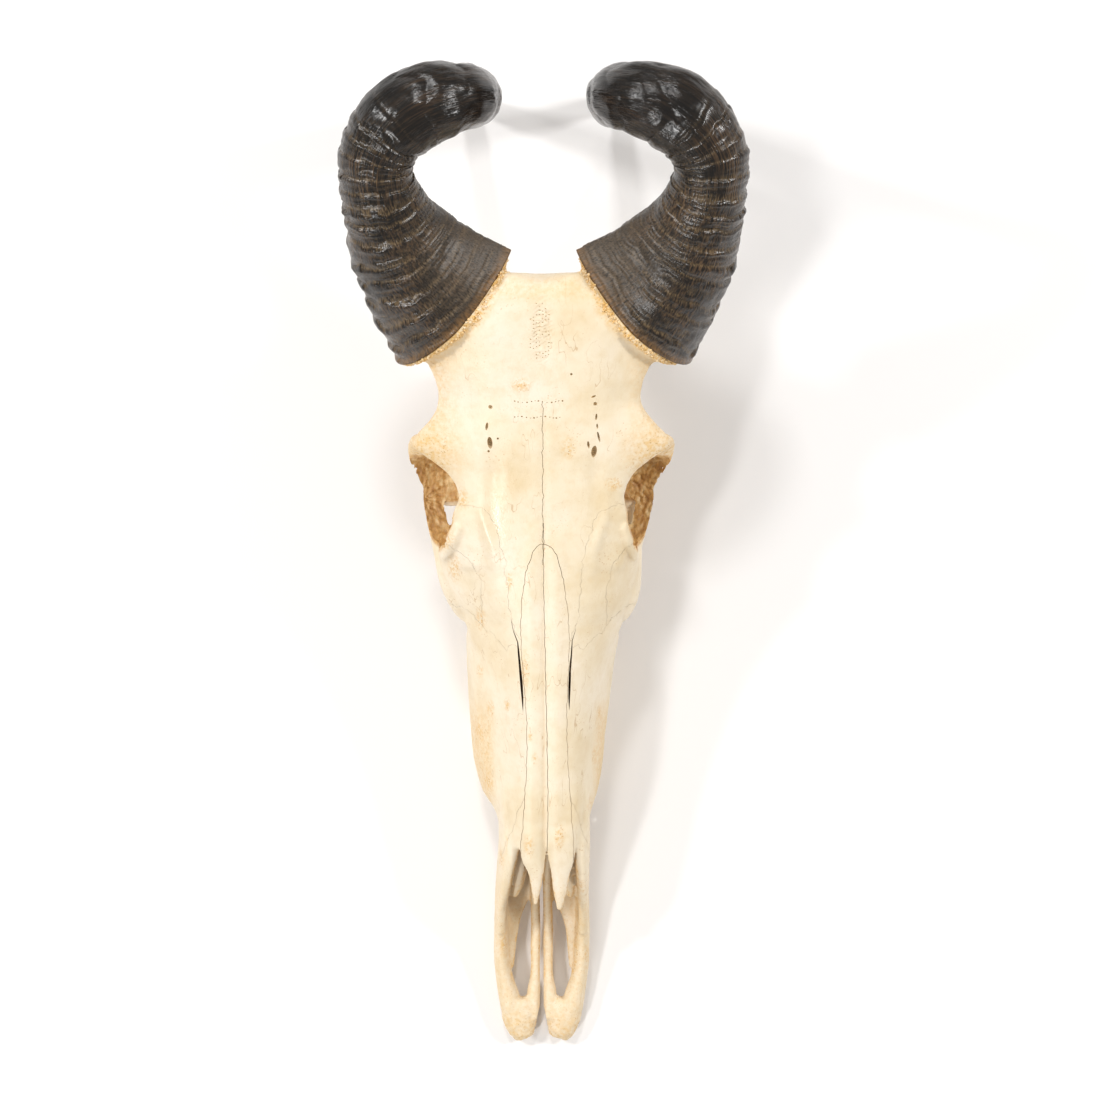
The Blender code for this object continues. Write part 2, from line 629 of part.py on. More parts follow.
def snout_sheets(into):
    """The seams round the premaxillae and the maxillae, and the one along the palate."""
    seam = both_sides([(0, 238), (15, 242), (18.5, 245), (22.5, 241), (26.5, 245.2), (33, 250.5),
                       (38, 256), (45, 262), (80, 268)])
    palate = [[(0, b, z) for b in range(104, 304, 8)] for z in (-6, 84)]
    splint = both_sides([(0, 168), (12.5, 167), (19, 152), (23, 141), (27, 130), (44, 118)])
    front = both_sides([(0, 112), (12.5, 112), (19, 109), (23, 106), (27, 102), (44, 94)])
    return [
        sheet("premaxilla_seam", ([(x, b, 100) for x, b in splint],
                                  [(x, b, -4) for x, b in front]), GAP, into),
        sheet("palate_middle", palate, GAP, into),
        sheet("maxilla_seam", ([(x, b, 130) for x, b in seam],
                               [(x, b + 20, -6) for x, b in seam]), GAP, into),
    ]


def cheek_sheets(into):
    """The seams round each cheek bone: to the face, to the brow and along the arch."""
    sheets = []
    outer = ((35, 240, 150), (36, 262, 150), (36, 283, 150), (42.4, 296, 150), (52.5, 303, 150),
             (63.2, 308, 150), (62, 311, 130), (59, 315, 112), (55, 322, 100), (50, 333, 95),
             (46, 346, 95))
    inner = ((36, 240, 20), (37, 262, 20), (37, 281, 20), (38, 292, 20), (38, 298, 20), (38, 303, 20),
             (38, 308, 20), (38, 314, 20), (38, 322, 20), (38, 334, 20), (38, 347, 20))
    for side in (-1, 1):
        face = [[(side * x, b, z) for x, b, z in line] for line in (outer, inner)]
        brow = [[(side * x, b, 113) for x in (40, 92)] for b in (325, 380)]
        arch = [[(side * x, b, z) for x, b in ((26, 380), (80, 363))] for z in (56, 113.5)]
        sheets += [
            sheet("cheek_seam", face, GAP, into),
            sheet("brow_seam", brow, GAP, into),
            sheet("arch_seam", arch, GAP, into),
        ]
    return sheets


def brow_sheets(into):
    """The seam behind the lacrimals."""
    brow = both_sides([(0, 248), (15.5, 250), (19, 260), (20.8, 281), (22.3, 293), (24.5, 304),
                       (27.5, 317), (33, 326), (47, 329), (80, 331)])
    return [sheet("lacrimal_seam", [[(x, b, z) for x, b in brow] for z in (160, -6)], GAP, into)]


def forehead_sheets(into):
    """The seam between the frontals and the braincase below them."""
    line = [(230, 86), (250, 92), (278, 100), (296, 104), (330, 110), (356, 112), (396, 124),
            (430, 130), (470, 132)]
    return [across("forehead_seam", line, into)]


def tooth(index, back, side, into):
    """One cheek tooth: an upright prism, with a waist between the two lobes of a molar."""
    length, width, outer = TEETH[index]
    waist = MOLAR_WAIST if index >= PREMOLARS else 0
    rings = []
    for z, spread in ((0, 0.90), (6, 1.0), (TOOTH_ROOT, 1.0)):
        ring = []
        for j in range(16):
            angle = 2 * math.pi * j / 16
            c, s = math.cos(angle), math.sin(angle)
            across = math.copysign(abs(s) ** 0.7, s) * (1 - waist * abs(s) ** 8) * width / 2
            along = math.copysign(abs(c) ** 0.5, c) * 1.02 * length / 2
            ring.append(place(side * (outer - width / 2 + across * spread),
                              back + length / 2 + along * spread, z))
        rings.append(ring)
    obj = loft("tooth", rings, into)
    leaned(obj)
    return obj


def tooth_row(side, into):
    teeth, back = [], TOOTH_ROW_FRONT
    for index, (length, _, _) in enumerate(TEETH):
        teeth.append(tooth(index, back, side, into))
        back += length
    return teeth


def united(obj, pieces, into):
    """The object with all the pieces joined on by one Boolean."""
    group = bpy.data.collections.new("roots")
    bpy.context.scene.collection.children.link(group)
    for piece in pieces:
        into.objects.unlink(piece)
        group.objects.link(piece)
    modifier = obj.modifiers.new("join", "BOOLEAN")
    modifier.operation = "UNION"
    modifier.solver = "MANIFOLD"
    modifier.operand_type = "COLLECTION"
    modifier.collection = group
    made = baked(obj, obj.name, into)
    for piece in pieces:
        bpy.data.objects.remove(piece, do_unlink=True)
    bpy.data.collections.remove(group)
    return made


def prism(name, outline, low, high, into):
    """An upright solid over an outline of (x, back) points."""
    n = len(outline)
    points = [place(x, back, z) for z in (low, high) for x, back in outline]
    faces = [tuple(range(n)), tuple(range(2 * n - 1, n - 1, -1))]
    faces += [(i, (i + 1) % n, n + (i + 1) % n, n + i) for i in range(n)]
    obj = mesh_object(name, points, faces, into)
    face_out(obj)
    leaned(obj)
    return obj


def trimmings(into):
    """What is cut from the fused bones: the gap between the premaxillae, the floor, the horns."""
    floor = [(-150, -40), (150, -40), (150, 700), (-150, 700)]
    gap = [(-3.2, -6), (3.2, -6), (3.9, 7), (2.7, 15.5), (1.2, 22), (0.7, 30), (0.6, 44), (0.6, 60),
           (0.6, 72), (0.6, 86), (0.6, 100), (0.6, 113)]
    gap += [(-x, b) for x, b in reversed(gap[2:])]
    return [
        prism("floor", floor, -60, 0, into),
        prism("premaxilla_gap", gap, -8, 60, into),
        horn_clearance(-1, into),
        horn_clearance(1, into),
    ]


def cut_by(obj, cutters, into):
    for cutter in cutters:
        obj = boolean(obj, cutter, "DIFFERENCE", into, "MANIFOLD")
        bpy.data.objects.remove(cutter, do_unlink=True)
    return obj


def middle_of(obj):
    """Where the body's volume is centred: x, back and z in millimetres, and the volume in ml."""
    centre, total = Vector(), 0.0
    obj.data.calc_loop_triangles()
    for triangle in obj.data.loop_triangles:
        a, b, c = (obj.data.vertices[i].co for i in triangle.vertices)
        volume = a.dot(b.cross(c)) / 6
        centre += (a + b + c) * (volume / 4)
        total += volume
    centre /= total
    return centre.x / MM, centre.y / MM + NOSE_TO_FRAME, centre.z / MM, total / MM**3 / 1000


def fused_skull(tools):
    """All the bone in one skin: masses hollowed, thin bones joined on, sockets opened, thinned."""
    masses = fused("masses", skull_masses(tools), MASS_VOXEL, 4, tools)
    masses = cut_by(masses, hollows(tools), tools)
    whole = fused("skull", [masses] + fine_bones(tools), BONE_VOXEL, 3, tools)
    leaned(whole)
    decimate = whole.modifiers.new("thin", "DECIMATE")
    decimate.ratio = BONE_TRIANGLES / (2 * len(whole.data.polygons))
    whole = baked(whole, "skull", tools)
    spaces = sockets(tools)
    for space in spaces:
        leaned(space)
    return cut_by(whole, spaces + trimmings(tools), tools)


# What each seam frees from the rest, by the place of its middle: x, back and z.
FREED = (
    (nasal_sheets, (("nasal", (6.5, 191, 92)),)),
    (snout_sheets, (("premaxilla", (18, 76, 22)), ("maxilla", (26, 208, 46)))),
    (cheek_sheets, (("zygomatic", (55, 305, 84)),)),
    (brow_sheets, (("lacrimal", (30, 277, 82)),)),
)


def largest(obj, into):
    """The object's biggest body; crumbs that a cut or a union left are removed."""
    body, *crumbs = loose_parts(obj, into)
    for crumb in crumbs:
        bpy.data.objects.remove(crumb, do_unlink=True)
    return body


def nearest(bodies, place_of_middle):
    def distance(body):
        x, back, z, volume = middle_of(body)
        return math.dist((x, back, z), place_of_middle) if volume > 1 else math.inf

    return min(bodies, key=distance)


def bones(whole, tools):
    """The skull's bones by name, parted along their seams."""
    named = {}
    for sheets, wanted in FREED:
        bodies = loose_parts(cut_by(whole, sheets(tools), tools), tools)
        for name, (x, back, z) in wanted:
            for side, word in ((-1, "left"), (1, "right")):
                bone = nearest(bodies, (side * x, back, z))
                bodies.remove(bone)
                named[f"{name}_{word}"] = bone
        whole = bodies.pop(0)
        for scrap in bodies:
            bpy.data.objects.remove(scrap, do_unlink=True)
    upper, lower, *scraps = loose_parts(cut_by(whole, forehead_sheets(tools), tools), tools)
    for scrap in scraps:
        bpy.data.objects.remove(scrap, do_unlink=True)
    if middle_of(upper)[2] < middle_of(lower)[2]:
        upper, lower = lower, upper
    named["frontals"] = upper
    named["braincase"] = lower
    return named


def main():
    clear_scene()
    skull = collection("hartebeest_skull")
    tools = collection("cutters")
    named = bones(fused_skull(tools), tools)
    for side, word in ((-1, "left"), (1, "right")):
        bone = named["maxilla_" + word]
        named["maxilla_" + word] = largest(united(bone, tooth_row(side, tools), tools), tools)
    for name, bone in named.items():
        bone.name = name
        tools.objects.unlink(bone)
        skull.objects.link(bone)
        finish(bone, BONE)
    for side in (-1, 1):
        sheath = horn(side, skull)
        finish(sheath, KERATIN)


main()
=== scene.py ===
"""Skull of a hartebeest as a museum shows it: dried bone, worn molars and polished horn.

A place on the skull is (x, back, z) in millimetres: x across, with the right horn at +x, back from
the nose tip toward the horns, and z up from the floor. place() turns it into the frame's metres.
"""

import json
import math

import bmesh
import bpy
import numpy as np
from mathutils import Matrix, Vector, noise
from mathutils.bvhtree import BVHTree

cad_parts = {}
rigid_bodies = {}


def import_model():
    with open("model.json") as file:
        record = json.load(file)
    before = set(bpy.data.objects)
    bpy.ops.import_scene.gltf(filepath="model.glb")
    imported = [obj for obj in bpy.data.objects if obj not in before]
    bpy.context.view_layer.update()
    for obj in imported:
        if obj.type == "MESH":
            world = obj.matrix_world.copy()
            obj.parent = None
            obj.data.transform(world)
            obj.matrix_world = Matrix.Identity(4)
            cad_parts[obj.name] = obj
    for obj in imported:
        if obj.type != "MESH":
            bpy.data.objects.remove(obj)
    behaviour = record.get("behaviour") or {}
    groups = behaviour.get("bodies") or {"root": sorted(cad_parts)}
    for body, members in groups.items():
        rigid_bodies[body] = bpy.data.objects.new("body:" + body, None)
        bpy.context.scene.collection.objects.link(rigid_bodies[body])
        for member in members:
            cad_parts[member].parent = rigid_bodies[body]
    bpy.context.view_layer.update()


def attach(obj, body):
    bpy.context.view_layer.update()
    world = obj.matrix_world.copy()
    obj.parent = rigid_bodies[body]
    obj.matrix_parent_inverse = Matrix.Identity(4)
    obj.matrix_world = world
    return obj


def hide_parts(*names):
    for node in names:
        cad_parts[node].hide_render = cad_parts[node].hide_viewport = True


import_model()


MM = 0.001
SIDES = ((-1, "left"), (1, "right"))

# Driving dimensions
NOSE_TO_FRAME = 292.2         # the nose tip lies this far in front of the frame's origin
HORN_BASE_HALF_WIDTH = 47.3
HORN_BASE_HALF_DEPTH = 30.0
HORN_EGG = 0.3                # how much thinner the base is toward the middle of the skull
HORN_SLANT = 0.17             # how far the rim leans along the horn, for each millimetre across
HORN_POINT = 0.5              # how sharply the rim comes to a corner there
COLLAR_SLIM = 4.5             # how far the bone's collar stays back from both ends of the rim
SOCKET_CENTRE = (63, 331, 107)
SOCKET_RADII = (31, 27.0, 24)
SOCKET_TURN = (0, -19, 12)    # about X, Y and Z, in degrees
PIT_CENTRE = (61.5, 308.5, 118)   # a small pit in the front rim of the socket
PIT_RADII = (5.4, 6.2, 9)
FULLER_CHEEK = 4.0            # how much further the left cheek stands out
NARROWER_EYE = ((258, 0), (275, 3.5), (290, 6), (304, 8), (322, 7), (346, 6), (362, 3), (380, 0))
TOOTH_ROW_FRONT = 150.0       # back of the nose tip
TOOTH_ROOT = 26.0             # how high a crown reaches into its socket
PREMOLARS = 3
MOLAR_WAIST = 0.16            # how much narrower a molar is between its lobes
GAP = 0.3                     # left round the nasals, along the palate and below the horns
GROWN_GAP = 0.12              # left in the seams that have nearly grown together
GROOVE = 0.35                 # width of the furrow that is left of the forehead's middle seam
ENAMEL_TOP = 12.5             # below this height a maxilla shows the crowns of its teeth
SPLINTER_HEIGHT = 1.3         # how far the splinters of a socket's wall stand out
HORN_APART = 400              # shift of the right horn's pattern along it, so that the two differ

MASS_VOXEL = 1.7
BONE_VOXEL = 1.15
RING_POINTS = 48
HORN_RINGS = 420
HORN_ROUND = 176              # points round a horn
SEAM_STEP = 2.2               # between the points of a seam's wall
SEAM_WANDER = 0.9             # how far a seam strays to each side
CRUMB = 60                    # points in the largest scrap that a cut may leave
TOOTH_POINTS = 96             # points round a tooth
PIT_FINENESS = 0.4            # share of an ellipsoid's usual faces that a tiny pit has

# Splinters in a socket's wall: their size across, across and upward in metres, and their share.
SPLINTERS = (((0.0022, 0.0022, 0.010), 1.0), ((0.0011, 0.0011, 0.006), 0.5))

# The photograph's view: its width and its lens in pixels, the sensor in millimetres, and the place
# of the camera in metres.
PHOTO_PIXELS = 1100
FOCAL_PIXELS = 2741
SENSOR_WIDTH = 36.0
CAMERA_PLACE = (0.0035, 0.0104, 1.7)

# The studio, in metres: the table and its drop below the object, the strength of the room's own
# light, the place that the lights point at, and each light's place, watts and width.
TABLE_REACH = 3.0
TABLE_DROP = 0.0004
ROOM_LIGHT = 0.40
LIT_PLACE = (0.0, 0.0, 0.05)
SOFTBOXES = (
    ("left_softbox", (-1.3, 0.5, 1.5), 16.0, 0.22),
    ("right_softbox", (1.5, 0.4, 1.4), 18.0, 0.25),
    ("front_softbox", (-0.9, -1.2, 1.4), 13.0, 0.16),
    ("top_softbox", (-0.2, 1.4, 1.9), 13.0, 0.22),
)

# Cross-sections of the muzzle. Each row runs from the crown of the nasals, round the right side,
# to the middle of the palate: back, then (x, z) of the crown, the nasal edge, the shoulder, the
# wall, the cheek above the teeth, the outer gum, the inner gum and the vault of the palate.
MUZZLE = (
    (125, (0, 74.8), (16.5, 72.8), (21.2, 64.5), (25.7, 47), (27, 27.5), (23.5, 13.5), (12.5, 12.5),
     (0, 13.5)),
    (130, (0, 76.5), (16.5, 74.5), (21.5, 66), (26, 48), (27, 28), (23.5, 14), (13, 13), (0, 14)),
    (145, (0, 82), (16, 80), (22, 71), (27, 52), (28, 33), (26, 17), (17, 15), (0, 18)),
    (154, (0, 84.5), (15.2, 82.5), (22.5, 73), (29, 54), (32, 34), (31, 18), (20, 16), (0, 20)),
    (176, (0, 91), (13.4, 89), (24, 78), (33, 58), (37.5, 36), (36, 18), (21, 16.5), (0, 25)),
    (206, (0, 99.5), (13.2, 97.5), (27, 86), (36, 64), (41, 37), (38.5, 18), (21, 17), (0, 28)),
    (236, (0, 108.5), (15.4, 106.5), (30, 95), (39, 71), (43.5, 38), (40, 19), (21, 18), (0, 30)),
    (256, (0, 115), (16.5, 113), (33, 101), (42, 77), (44.5, 42), (38, 22), (20, 20), (0, 33)),
    (272, (0, 120), (17.5, 118), (35, 106), (41, 80), (37, 50), (30, 38), (16, 36), (0, 42)),
)

# The cheek in front of the eye: back, crown, nasal edge, shoulder, crest of the cheek bone,
# underside of the crest, inner edge and middle.
CHEEK = (
    (244, (0, 111), (15.5, 109), (31, 97), (40, 76), (38, 58), (20, 50), (0, 48)),
    (258, (0, 115.5), (17, 113.5), (34, 101), (45, 80), (42, 64), (22, 54), (0, 50)),
    (264, (0, 117.5), (18, 115.5), (36, 103.5), (47.5, 79), (46, 66), (24, 57), (0, 52)),
    (271, (0, 120), (19, 118), (39, 106), (53.5, 80), (50, 68), (24, 59), (0, 54)),
    (286, (0, 125), (21, 123), (44, 111.5), (59.5, 87), (54, 72), (26, 64), (0, 56)),
    (300, (0, 130), (24, 128), (49, 117), (62, 93), (56, 78), (28, 68), (0, 58)),
    (312, (0, 134), (26, 132), (52, 121), (60, 97), (55, 76), (28, 68), (0, 58)),
    (321, (0, 137), (26, 135), (46, 124), (50, 102), (50, 76), (28, 70), (0, 60)),
)

# The shield of the forehead: back, crown, middle of the brow, edge, underside and keel.
FOREHEAD = (
    (292, (0, 127), (26, 124.5), (49, 113), (36, 102), (0, 94)),
    (310, (0, 133.5), (28, 131.5), (54, 121), (38, 110), (0, 98)),
    (322, (0, 138), (28, 136), (53.5, 128.5), (39, 117), (0, 102)),
    (333, (0, 142.5), (29, 140.5), (48.5, 133), (39, 121), (0, 106)),
    (345, (0, 147.2), (31, 145), (54, 136), (41, 125), (0, 108)),
    (354, (0, 151), (35, 148.5), (65, 137.5), (47, 126.5), (0, 110)),
    (362, (0, 154.7), (38, 151.5), (76, 138), (53, 127), (0, 112)),
    (368, (0, 157), (37, 154), (73, 140), (52, 128), (0, 113)),
    (377, (0, 160.8), (34, 158), (63, 145), (47, 132), (0, 115)),
    (386, (0, 164.5), (33, 162), (57.5, 149), (44, 135), (0, 118)),
    (398, (0, 170), (34, 168), (58.5, 154), (45, 139), (0, 122)),
    (411, (0, 176), (35, 174.5), (64, 157), (50, 142), (0, 128)),
    (428, (0, 183.5), (36, 183), (66, 163), (48, 150), (0, 136)),
    (442, (0, 188.5), (27, 189), (37, 181), (33, 164), (0, 146)),
    (450, (0, 188), (16, 190), (24, 186), (20, 172), (0, 158)),
    (456, (0, 182), (15, 188), (22, 186), (19, 174), (0, 164)),
)

# The nasal cavity, inside the muzzle: back, roof, shoulder, wall, floor edge and floor.
CAVITY = (
    (84, (0, 92), (18, 90), (20, 46), (16, 19), (0, 17)),
    (104, (0, 62), (15, 60), (20, 42), (16, 20), (0, 18)),
    (126, (0, 70), (16, 67), (20.5, 46), (16, 21), (0, 20)),
    (160, (0, 81), (16, 78), (21, 54), (15, 27), (0, 27)),
    (200, (0, 92), (16, 89), (22, 62), (15, 33), (0, 33)),
    (240, (0, 104), (17, 101), (23, 74), (15, 42), (0, 40)),
    (275, (0, 116), (17, 113), (20, 88), (14, 60), (0, 58)),
    (300, (0, 124), (14, 122), (14, 104), (10, 88), (0, 86)),
    (314, (0, 126), (9, 124), (9, 112), (7, 100), (0, 98)),
)

# The right horn's middle line (x, back, z) with the half width and half depth of its section.
HORN_LINE = (
    ((51.5, 441, 158), HORN_BASE_HALF_WIDTH, HORN_BASE_HALF_DEPTH),
    ((65.5, 455.5, 171), 39.0, 29.0),
    ((78.5, 472.5, 186), 31.0, 26.0),
    ((86, 488, 201), 23.8, 23.0),
    ((90.5, 503, 213), 20.5, 20.5),
    ((89.5, 518, 222), 20.5, 20.0),
    ((80, 531, 228), 22.0, 20.5),
    ((67, 540, 230), 22.5, 20.5),
    ((54, 544.5, 228), 20.5, 19.0),
    ((44.5, 547.5, 220), 18.0, 17.5),
    ((40.3, 550, 204), 17.0, 16.5),
    ((39.6, 553, 180), 15.5, 15.5),
    ((40, 558.5, 142), 13.0, 13.0),
    ((42, 565.5, 96), 10.5, 10.5),
    ((44, 573, 46), 8.0, 8.0),
    ((45.3, 579, 10), 5.5, 5.5),
    ((45.6, 580.5, 0), 3.5, 3.5),
)
HORN_RIM_DIRECTION = (0.700, -0.589, -0.406)
RIDGED_KNOTS = 6.6            # the ledges run from the base to this knot of the line

# Cheek teeth, front to back: length along the row, width across it, outer face at x.
TEETH = (
    (9.5, 9.0, 30.0),
    (12.5, 12.0, 33.0),
    (13.0, 14.5, 36.0),
    (18.0, 16.5, 38.5),
    (20.5, 17.5, 40.0),
    (20.5, 16.5, 40.0),
)

# The free end of each nasal, as a bar: x, back, z, half width and half height.
NASAL_TIPS = {
    -1: ((8, 154, 79, 7.0, 3.0), (8.3, 134, 75.5, 8.3, 3.5), (7.9, 121, 71.3, 7.5, 3.3),
         (5.9, 111, 67.8, 5.0, 3), (5.5, 101, 64, 3.1, 2.6), (5.0, 90.5, 60.5, 1.3, 1.6)),
    1: ((8, 154, 79, 7.0, 3.0), (8.3, 134, 75.5, 8.3, 3.5), (8.9, 121, 71.3, 8.2, 3.3),
        (8.8, 111, 67.8, 6.1, 3), (8.9, 100, 63.8, 4.5, 2.8), (9.6, 87.5, 59.8, 1.6, 1.6)),
}

# The nasals' outer edge from their tips to the forehead, as half width at a place behind the nose.
NASAL_EDGE = ((80, 18.5), (118, 18.0), (134, 16.7), (160, 14.6), (180, 13.4), (207, 13.1),
              (235, 14.8), (251, 15.7), (262, 15.2), (276, 13.8), (284, 12.1), (295, 10.2), (302, 7.0),
              (305.5, 4.0), (307, 0.0))

# Cracks where the nasals have shrunk from the face: x and back along each, with half its width.
FISSURES = (
    ((-19.4, 263, 0.05), (-18.2, 256, 0.14), (-15.7, 249, 0.3), (-14.6, 235, 0.6), (-13.9, 226, 0.75),
     (-13.4, 217, 0.55), (-13.2, 208, 0.05)),
    ((18.0, 257, 0.05), (15.7, 250, 0.2), (15.1, 242, 0.4), (14.2, 233, 0.55), (13.8, 225, 0.7),
     (13.4, 216, 0.5), (13.3, 209, 0.05)),
)

# Holes in the bone, by x and back, with half width, half length and depth, and a turn in degrees.
HOLES = (
    (-30.4, 363.1, 1.5, 3.5, 6, 6), (-32.1, 372.2, 0.8, 2.4, 3, -8), (-29.9, 382.9, 1.3, 1.2, 2.5, 0),
    (-25.9, 365.4, 0.6, 0.6, 2, 0), (-31.2, 358.4, 0.7, 0.7, 2, 0),
    (28.4, 358.2, 1.6, 3.6, 6, -10), (25.2, 362.0, 0.7, 2.2, 3, 8), (31.0, 366.3, 0.6, 3.4, 3, 14),
    (28.9, 384.6, 1.2, 1.1, 2.5, 0), (27.9, 388.6, 1.5, 0.6, 2, 20), (29.5, 377.4, 0.6, 1.9, 2.5, -6),
    (30.1, 372.3, 0.5, 1.6, 2, 4), (15.4, 400.6, 0.7, 0.7, 2, 0),
)

# Spots where the skin of the bone has worn through to the porous bone: x, back, half width, length.
POROUS = (
    (-38, 231, 2.2, 4), (-31.6, 209, 2.2, 5), (-21.7, 212, 1.8, 4), (-39, 194, 2.5, 4.5),
    (-33.4, 163, 3.6, 6), (-5.3, 180, 1.6, 3.4), (-8.2, 193, 1.4, 2.6), (32.8, 206, 1.6, 4.5),
    (29.9, 180, 1.6, 5), (-10.8, 233, 2.4, 11), (-20, 284, 2.2, 5), (-52, 292, 4, 8), (-37, 262, 3, 7),
    (28, 150, 2.5, 5), (-26, 118, 2.2, 7), (23, 101, 2.0, 4), (-25, 62, 2.4, 9), (26, 54, 2.2, 6),
    (-57, 309, 6, 7), (-9, 127, 3, 7), (9, 133, 3, 8), (-47, 332, 4, 6), (40, 340, 5, 4),
    (-13, 395, 5, 4), (14, 360, 4, 6),
)

# Two rows of pinholes across the forehead: back, the x of the first and last, and how many.
PINHOLES = ((385.7, -16.3, 10.9, 13), (377.2, -16.3, 9.4, 13))


def collection(name):
    made = bpy.data.collections.new(name)
    bpy.context.scene.collection.children.link(made)
    return made


def place(x, back, z):
    """A point of the skull in the frame, in metres."""
    return (x * MM, (back - NOSE_TO_FRAME) * MM, z * MM)


def smooth_between(knots, at):
    """Value at a place on a smooth curve through (place, value) knots; a value may be an array."""
    places = [k[0] for k in knots]
    values = [np.asarray(k[1], float) for k in knots]
    at = min(max(at, places[0]), places[-1])
    i = min(max(np.searchsorted(places, at) - 1, 0), len(places) - 2)
    span = places[i + 1] - places[i]
    t = (at - places[i]) / span

    def slope(j):
        a, b = max(j - 1, 0), min(j + 1, len(places) - 1)
        return (values[b] - values[a]) / (places[b] - places[a])

    return (
        (2 * t**3 - 3 * t**2 + 1) * values[i]
        + (t**3 - 2 * t**2 + t) * span * slope(i)
        + (3 * t**2 - 2 * t**3) * values[i + 1]
        + (t**3 - t**2) * span * slope(i + 1)
    )


def closed_curve(points, count):
    """count points on a smooth closed curve through the given points."""
    points = np.asarray(points, float)
    n = len(points)
    found = []
    for step in np.arange(count) * n / count:
        i = int(step)
        t = step - i
        a, b, c, d = (points[(i + j) % n] for j in (-1, 0, 1, 2))
        curve = 2 * b + (c - a) * t + (2 * a - 5 * b + 4 * c - d) * t**2
        found.append(0.5 * (curve + (3 * b - a - 3 * c + d) * t**3))
    return np.array(found)


def linked(name, data, into):
    """A new object for this data, in a collection."""
    obj = bpy.data.objects.new(name, data)
    into.objects.link(obj)
    return obj


def from_bmesh(name, bm, into):
    """A new mesh object with what a bmesh holds; the bmesh is freed."""
    mesh = bpy.data.meshes.new(name)
    bm.to_mesh(mesh)
    bm.free()
    return linked(name, mesh, into)


def discard(objects):
    for obj in objects:
        bpy.data.objects.remove(obj, do_unlink=True)


def mesh_object(name, points, faces, into):
    mesh = bpy.data.meshes.new(name)
    mesh.from_pydata([tuple(p) for p in points], [], faces)
    mesh.update()
    return linked(name, mesh, into)


def face_out(obj):
    bm = bmesh.new()
    bm.from_mesh(obj.data)
    bmesh.ops.recalc_face_normals(bm, faces=bm.faces)
    bm.to_mesh(obj.data)
    bm.free()


def loft(name, rings, into):
    """A closed solid through rings that have the same number of points, with a point at each end."""
    count = len(rings[0])
    points = [tuple(p) for ring in rings for p in ring]
    faces = []
    for r in range(len(rings) - 1):
        for i in range(count):
            j = (i + 1) % count
            a, b = r * count, (r + 1) * count
            faces.append((a + i, a + j, b + j, b + i))
    for ring, first, turn in ((rings[0], 0, -1), (rings[-1], (len(rings) - 1) * count, 1)):
        hub = len(points)
        points.append(tuple(np.mean(np.asarray(ring), axis=0)))
        for i in range(count):
            faces.append((first + i, first + (i + 1) % count, hub)[::turn])
    obj = mesh_object(name, points, faces, into)
    face_out(obj)
    return obj


def section_loft(name, table, step, into, count=RING_POINTS):
    """A solid from half sections, mirrored across the middle plane and set along the skull."""
    knots = [(row[0], np.array(row[1:], float)) for row in table]
    first, last = table[0][0], table[-1][0]
    rings = []
    for back in np.linspace(first, last, int((last - first) / step) + 1):
        half = smooth_between(knots, back)
        whole = np.vstack([half, half[-2:0:-1] * (-1, 1)])
        rings.append([place(x, back, z) for x, z in closed_curve(whole, count)])
    return loft(name, rings, into)


def bar(name, line, side, into, steps=30, count=16, up=(0, 0, 1)):
    """A bone bar along a smooth line of (x, back, z, half width, half height) knots."""
    knots = [(i, np.array(k, float)) for i, k in enumerate(line)]
    samples = [smooth_between(knots, t) for t in np.linspace(0, len(line) - 1, steps)]
    centres = [Vector(place(side * k[0], k[1], k[2])) for k in samples]
    rings = []
    for i, k in enumerate(samples):
        ahead = (centres[min(i + 1, steps - 1)] - centres[max(i - 1, 0)]).normalized()
        across = ahead.cross(Vector(up)).normalized()
        rise = across.cross(ahead).normalized()
        ring = []
        for j in range(count):
            angle = 2 * math.pi * j / count
            offset = across * (k[3] * math.cos(angle)) + rise * (k[4] * math.sin(angle))
            ring.append(centres[i] + offset * MM)
        rings.append(ring)
    return loft(name, rings, into)


def turned(degrees):
    """The rotation by these angles about X, then Y, then Z."""
    x, y, z = (Matrix.Rotation(math.radians(angle), 3, axis) for angle, axis in zip(degrees, "XYZ"))
    return z @ y @ x


def ellipsoid(name, centre, radii, into, turn=(0, 0, 0), fine=1):
    """An ellipsoid; turn is its rotation about X, Y and Z in degrees."""
    bm = bmesh.new()
    bmesh.ops.create_uvsphere(bm, u_segments=int(32 * fine), v_segments=int(20 * fine), radius=1)
    obj = from_bmesh(name, bm, into)
    scale = Matrix.Diagonal((*[radius * MM for radius in radii], 1))
    obj.data.transform(Matrix.Translation(place(*centre)) @ turned(turn).to_4x4() @ scale)
    return obj


def baked(obj, name, into):
    """The object as its modifiers leave it, as a plain mesh object; the old one is removed."""
    graph = bpy.context.evaluated_depsgraph_get()
    mesh = bpy.data.meshes.new_from_object(obj.evaluated_get(graph))
    made = linked(name, mesh, into)
    made.matrix_world = obj.matrix_world
    discard([obj])
    made.name = name
    return made


def joined(name, pieces, into):
    """One mesh object that holds all the pieces' faces."""
    bm = bmesh.new()
    for piece in pieces:
        bm.from_mesh(piece.data)
    discard(pieces)
    return from_bmesh(name, bm, into)


def fused(name, pieces, voxel, rounding, into):
    """The pieces grown into one skin on a grid of voxels, then rounded where they meet."""
    obj = joined(name, pieces, into)
    remesh = obj.modifiers.new("fuse", "REMESH")
    remesh.mode = "VOXEL"
    remesh.voxel_size = voxel * MM
    remesh.use_smooth_shade = True
    smooth = obj.modifiers.new("round", "SMOOTH")
    smooth.factor = 0.5
    smooth.iterations = rounding
    return baked(obj, name, into)


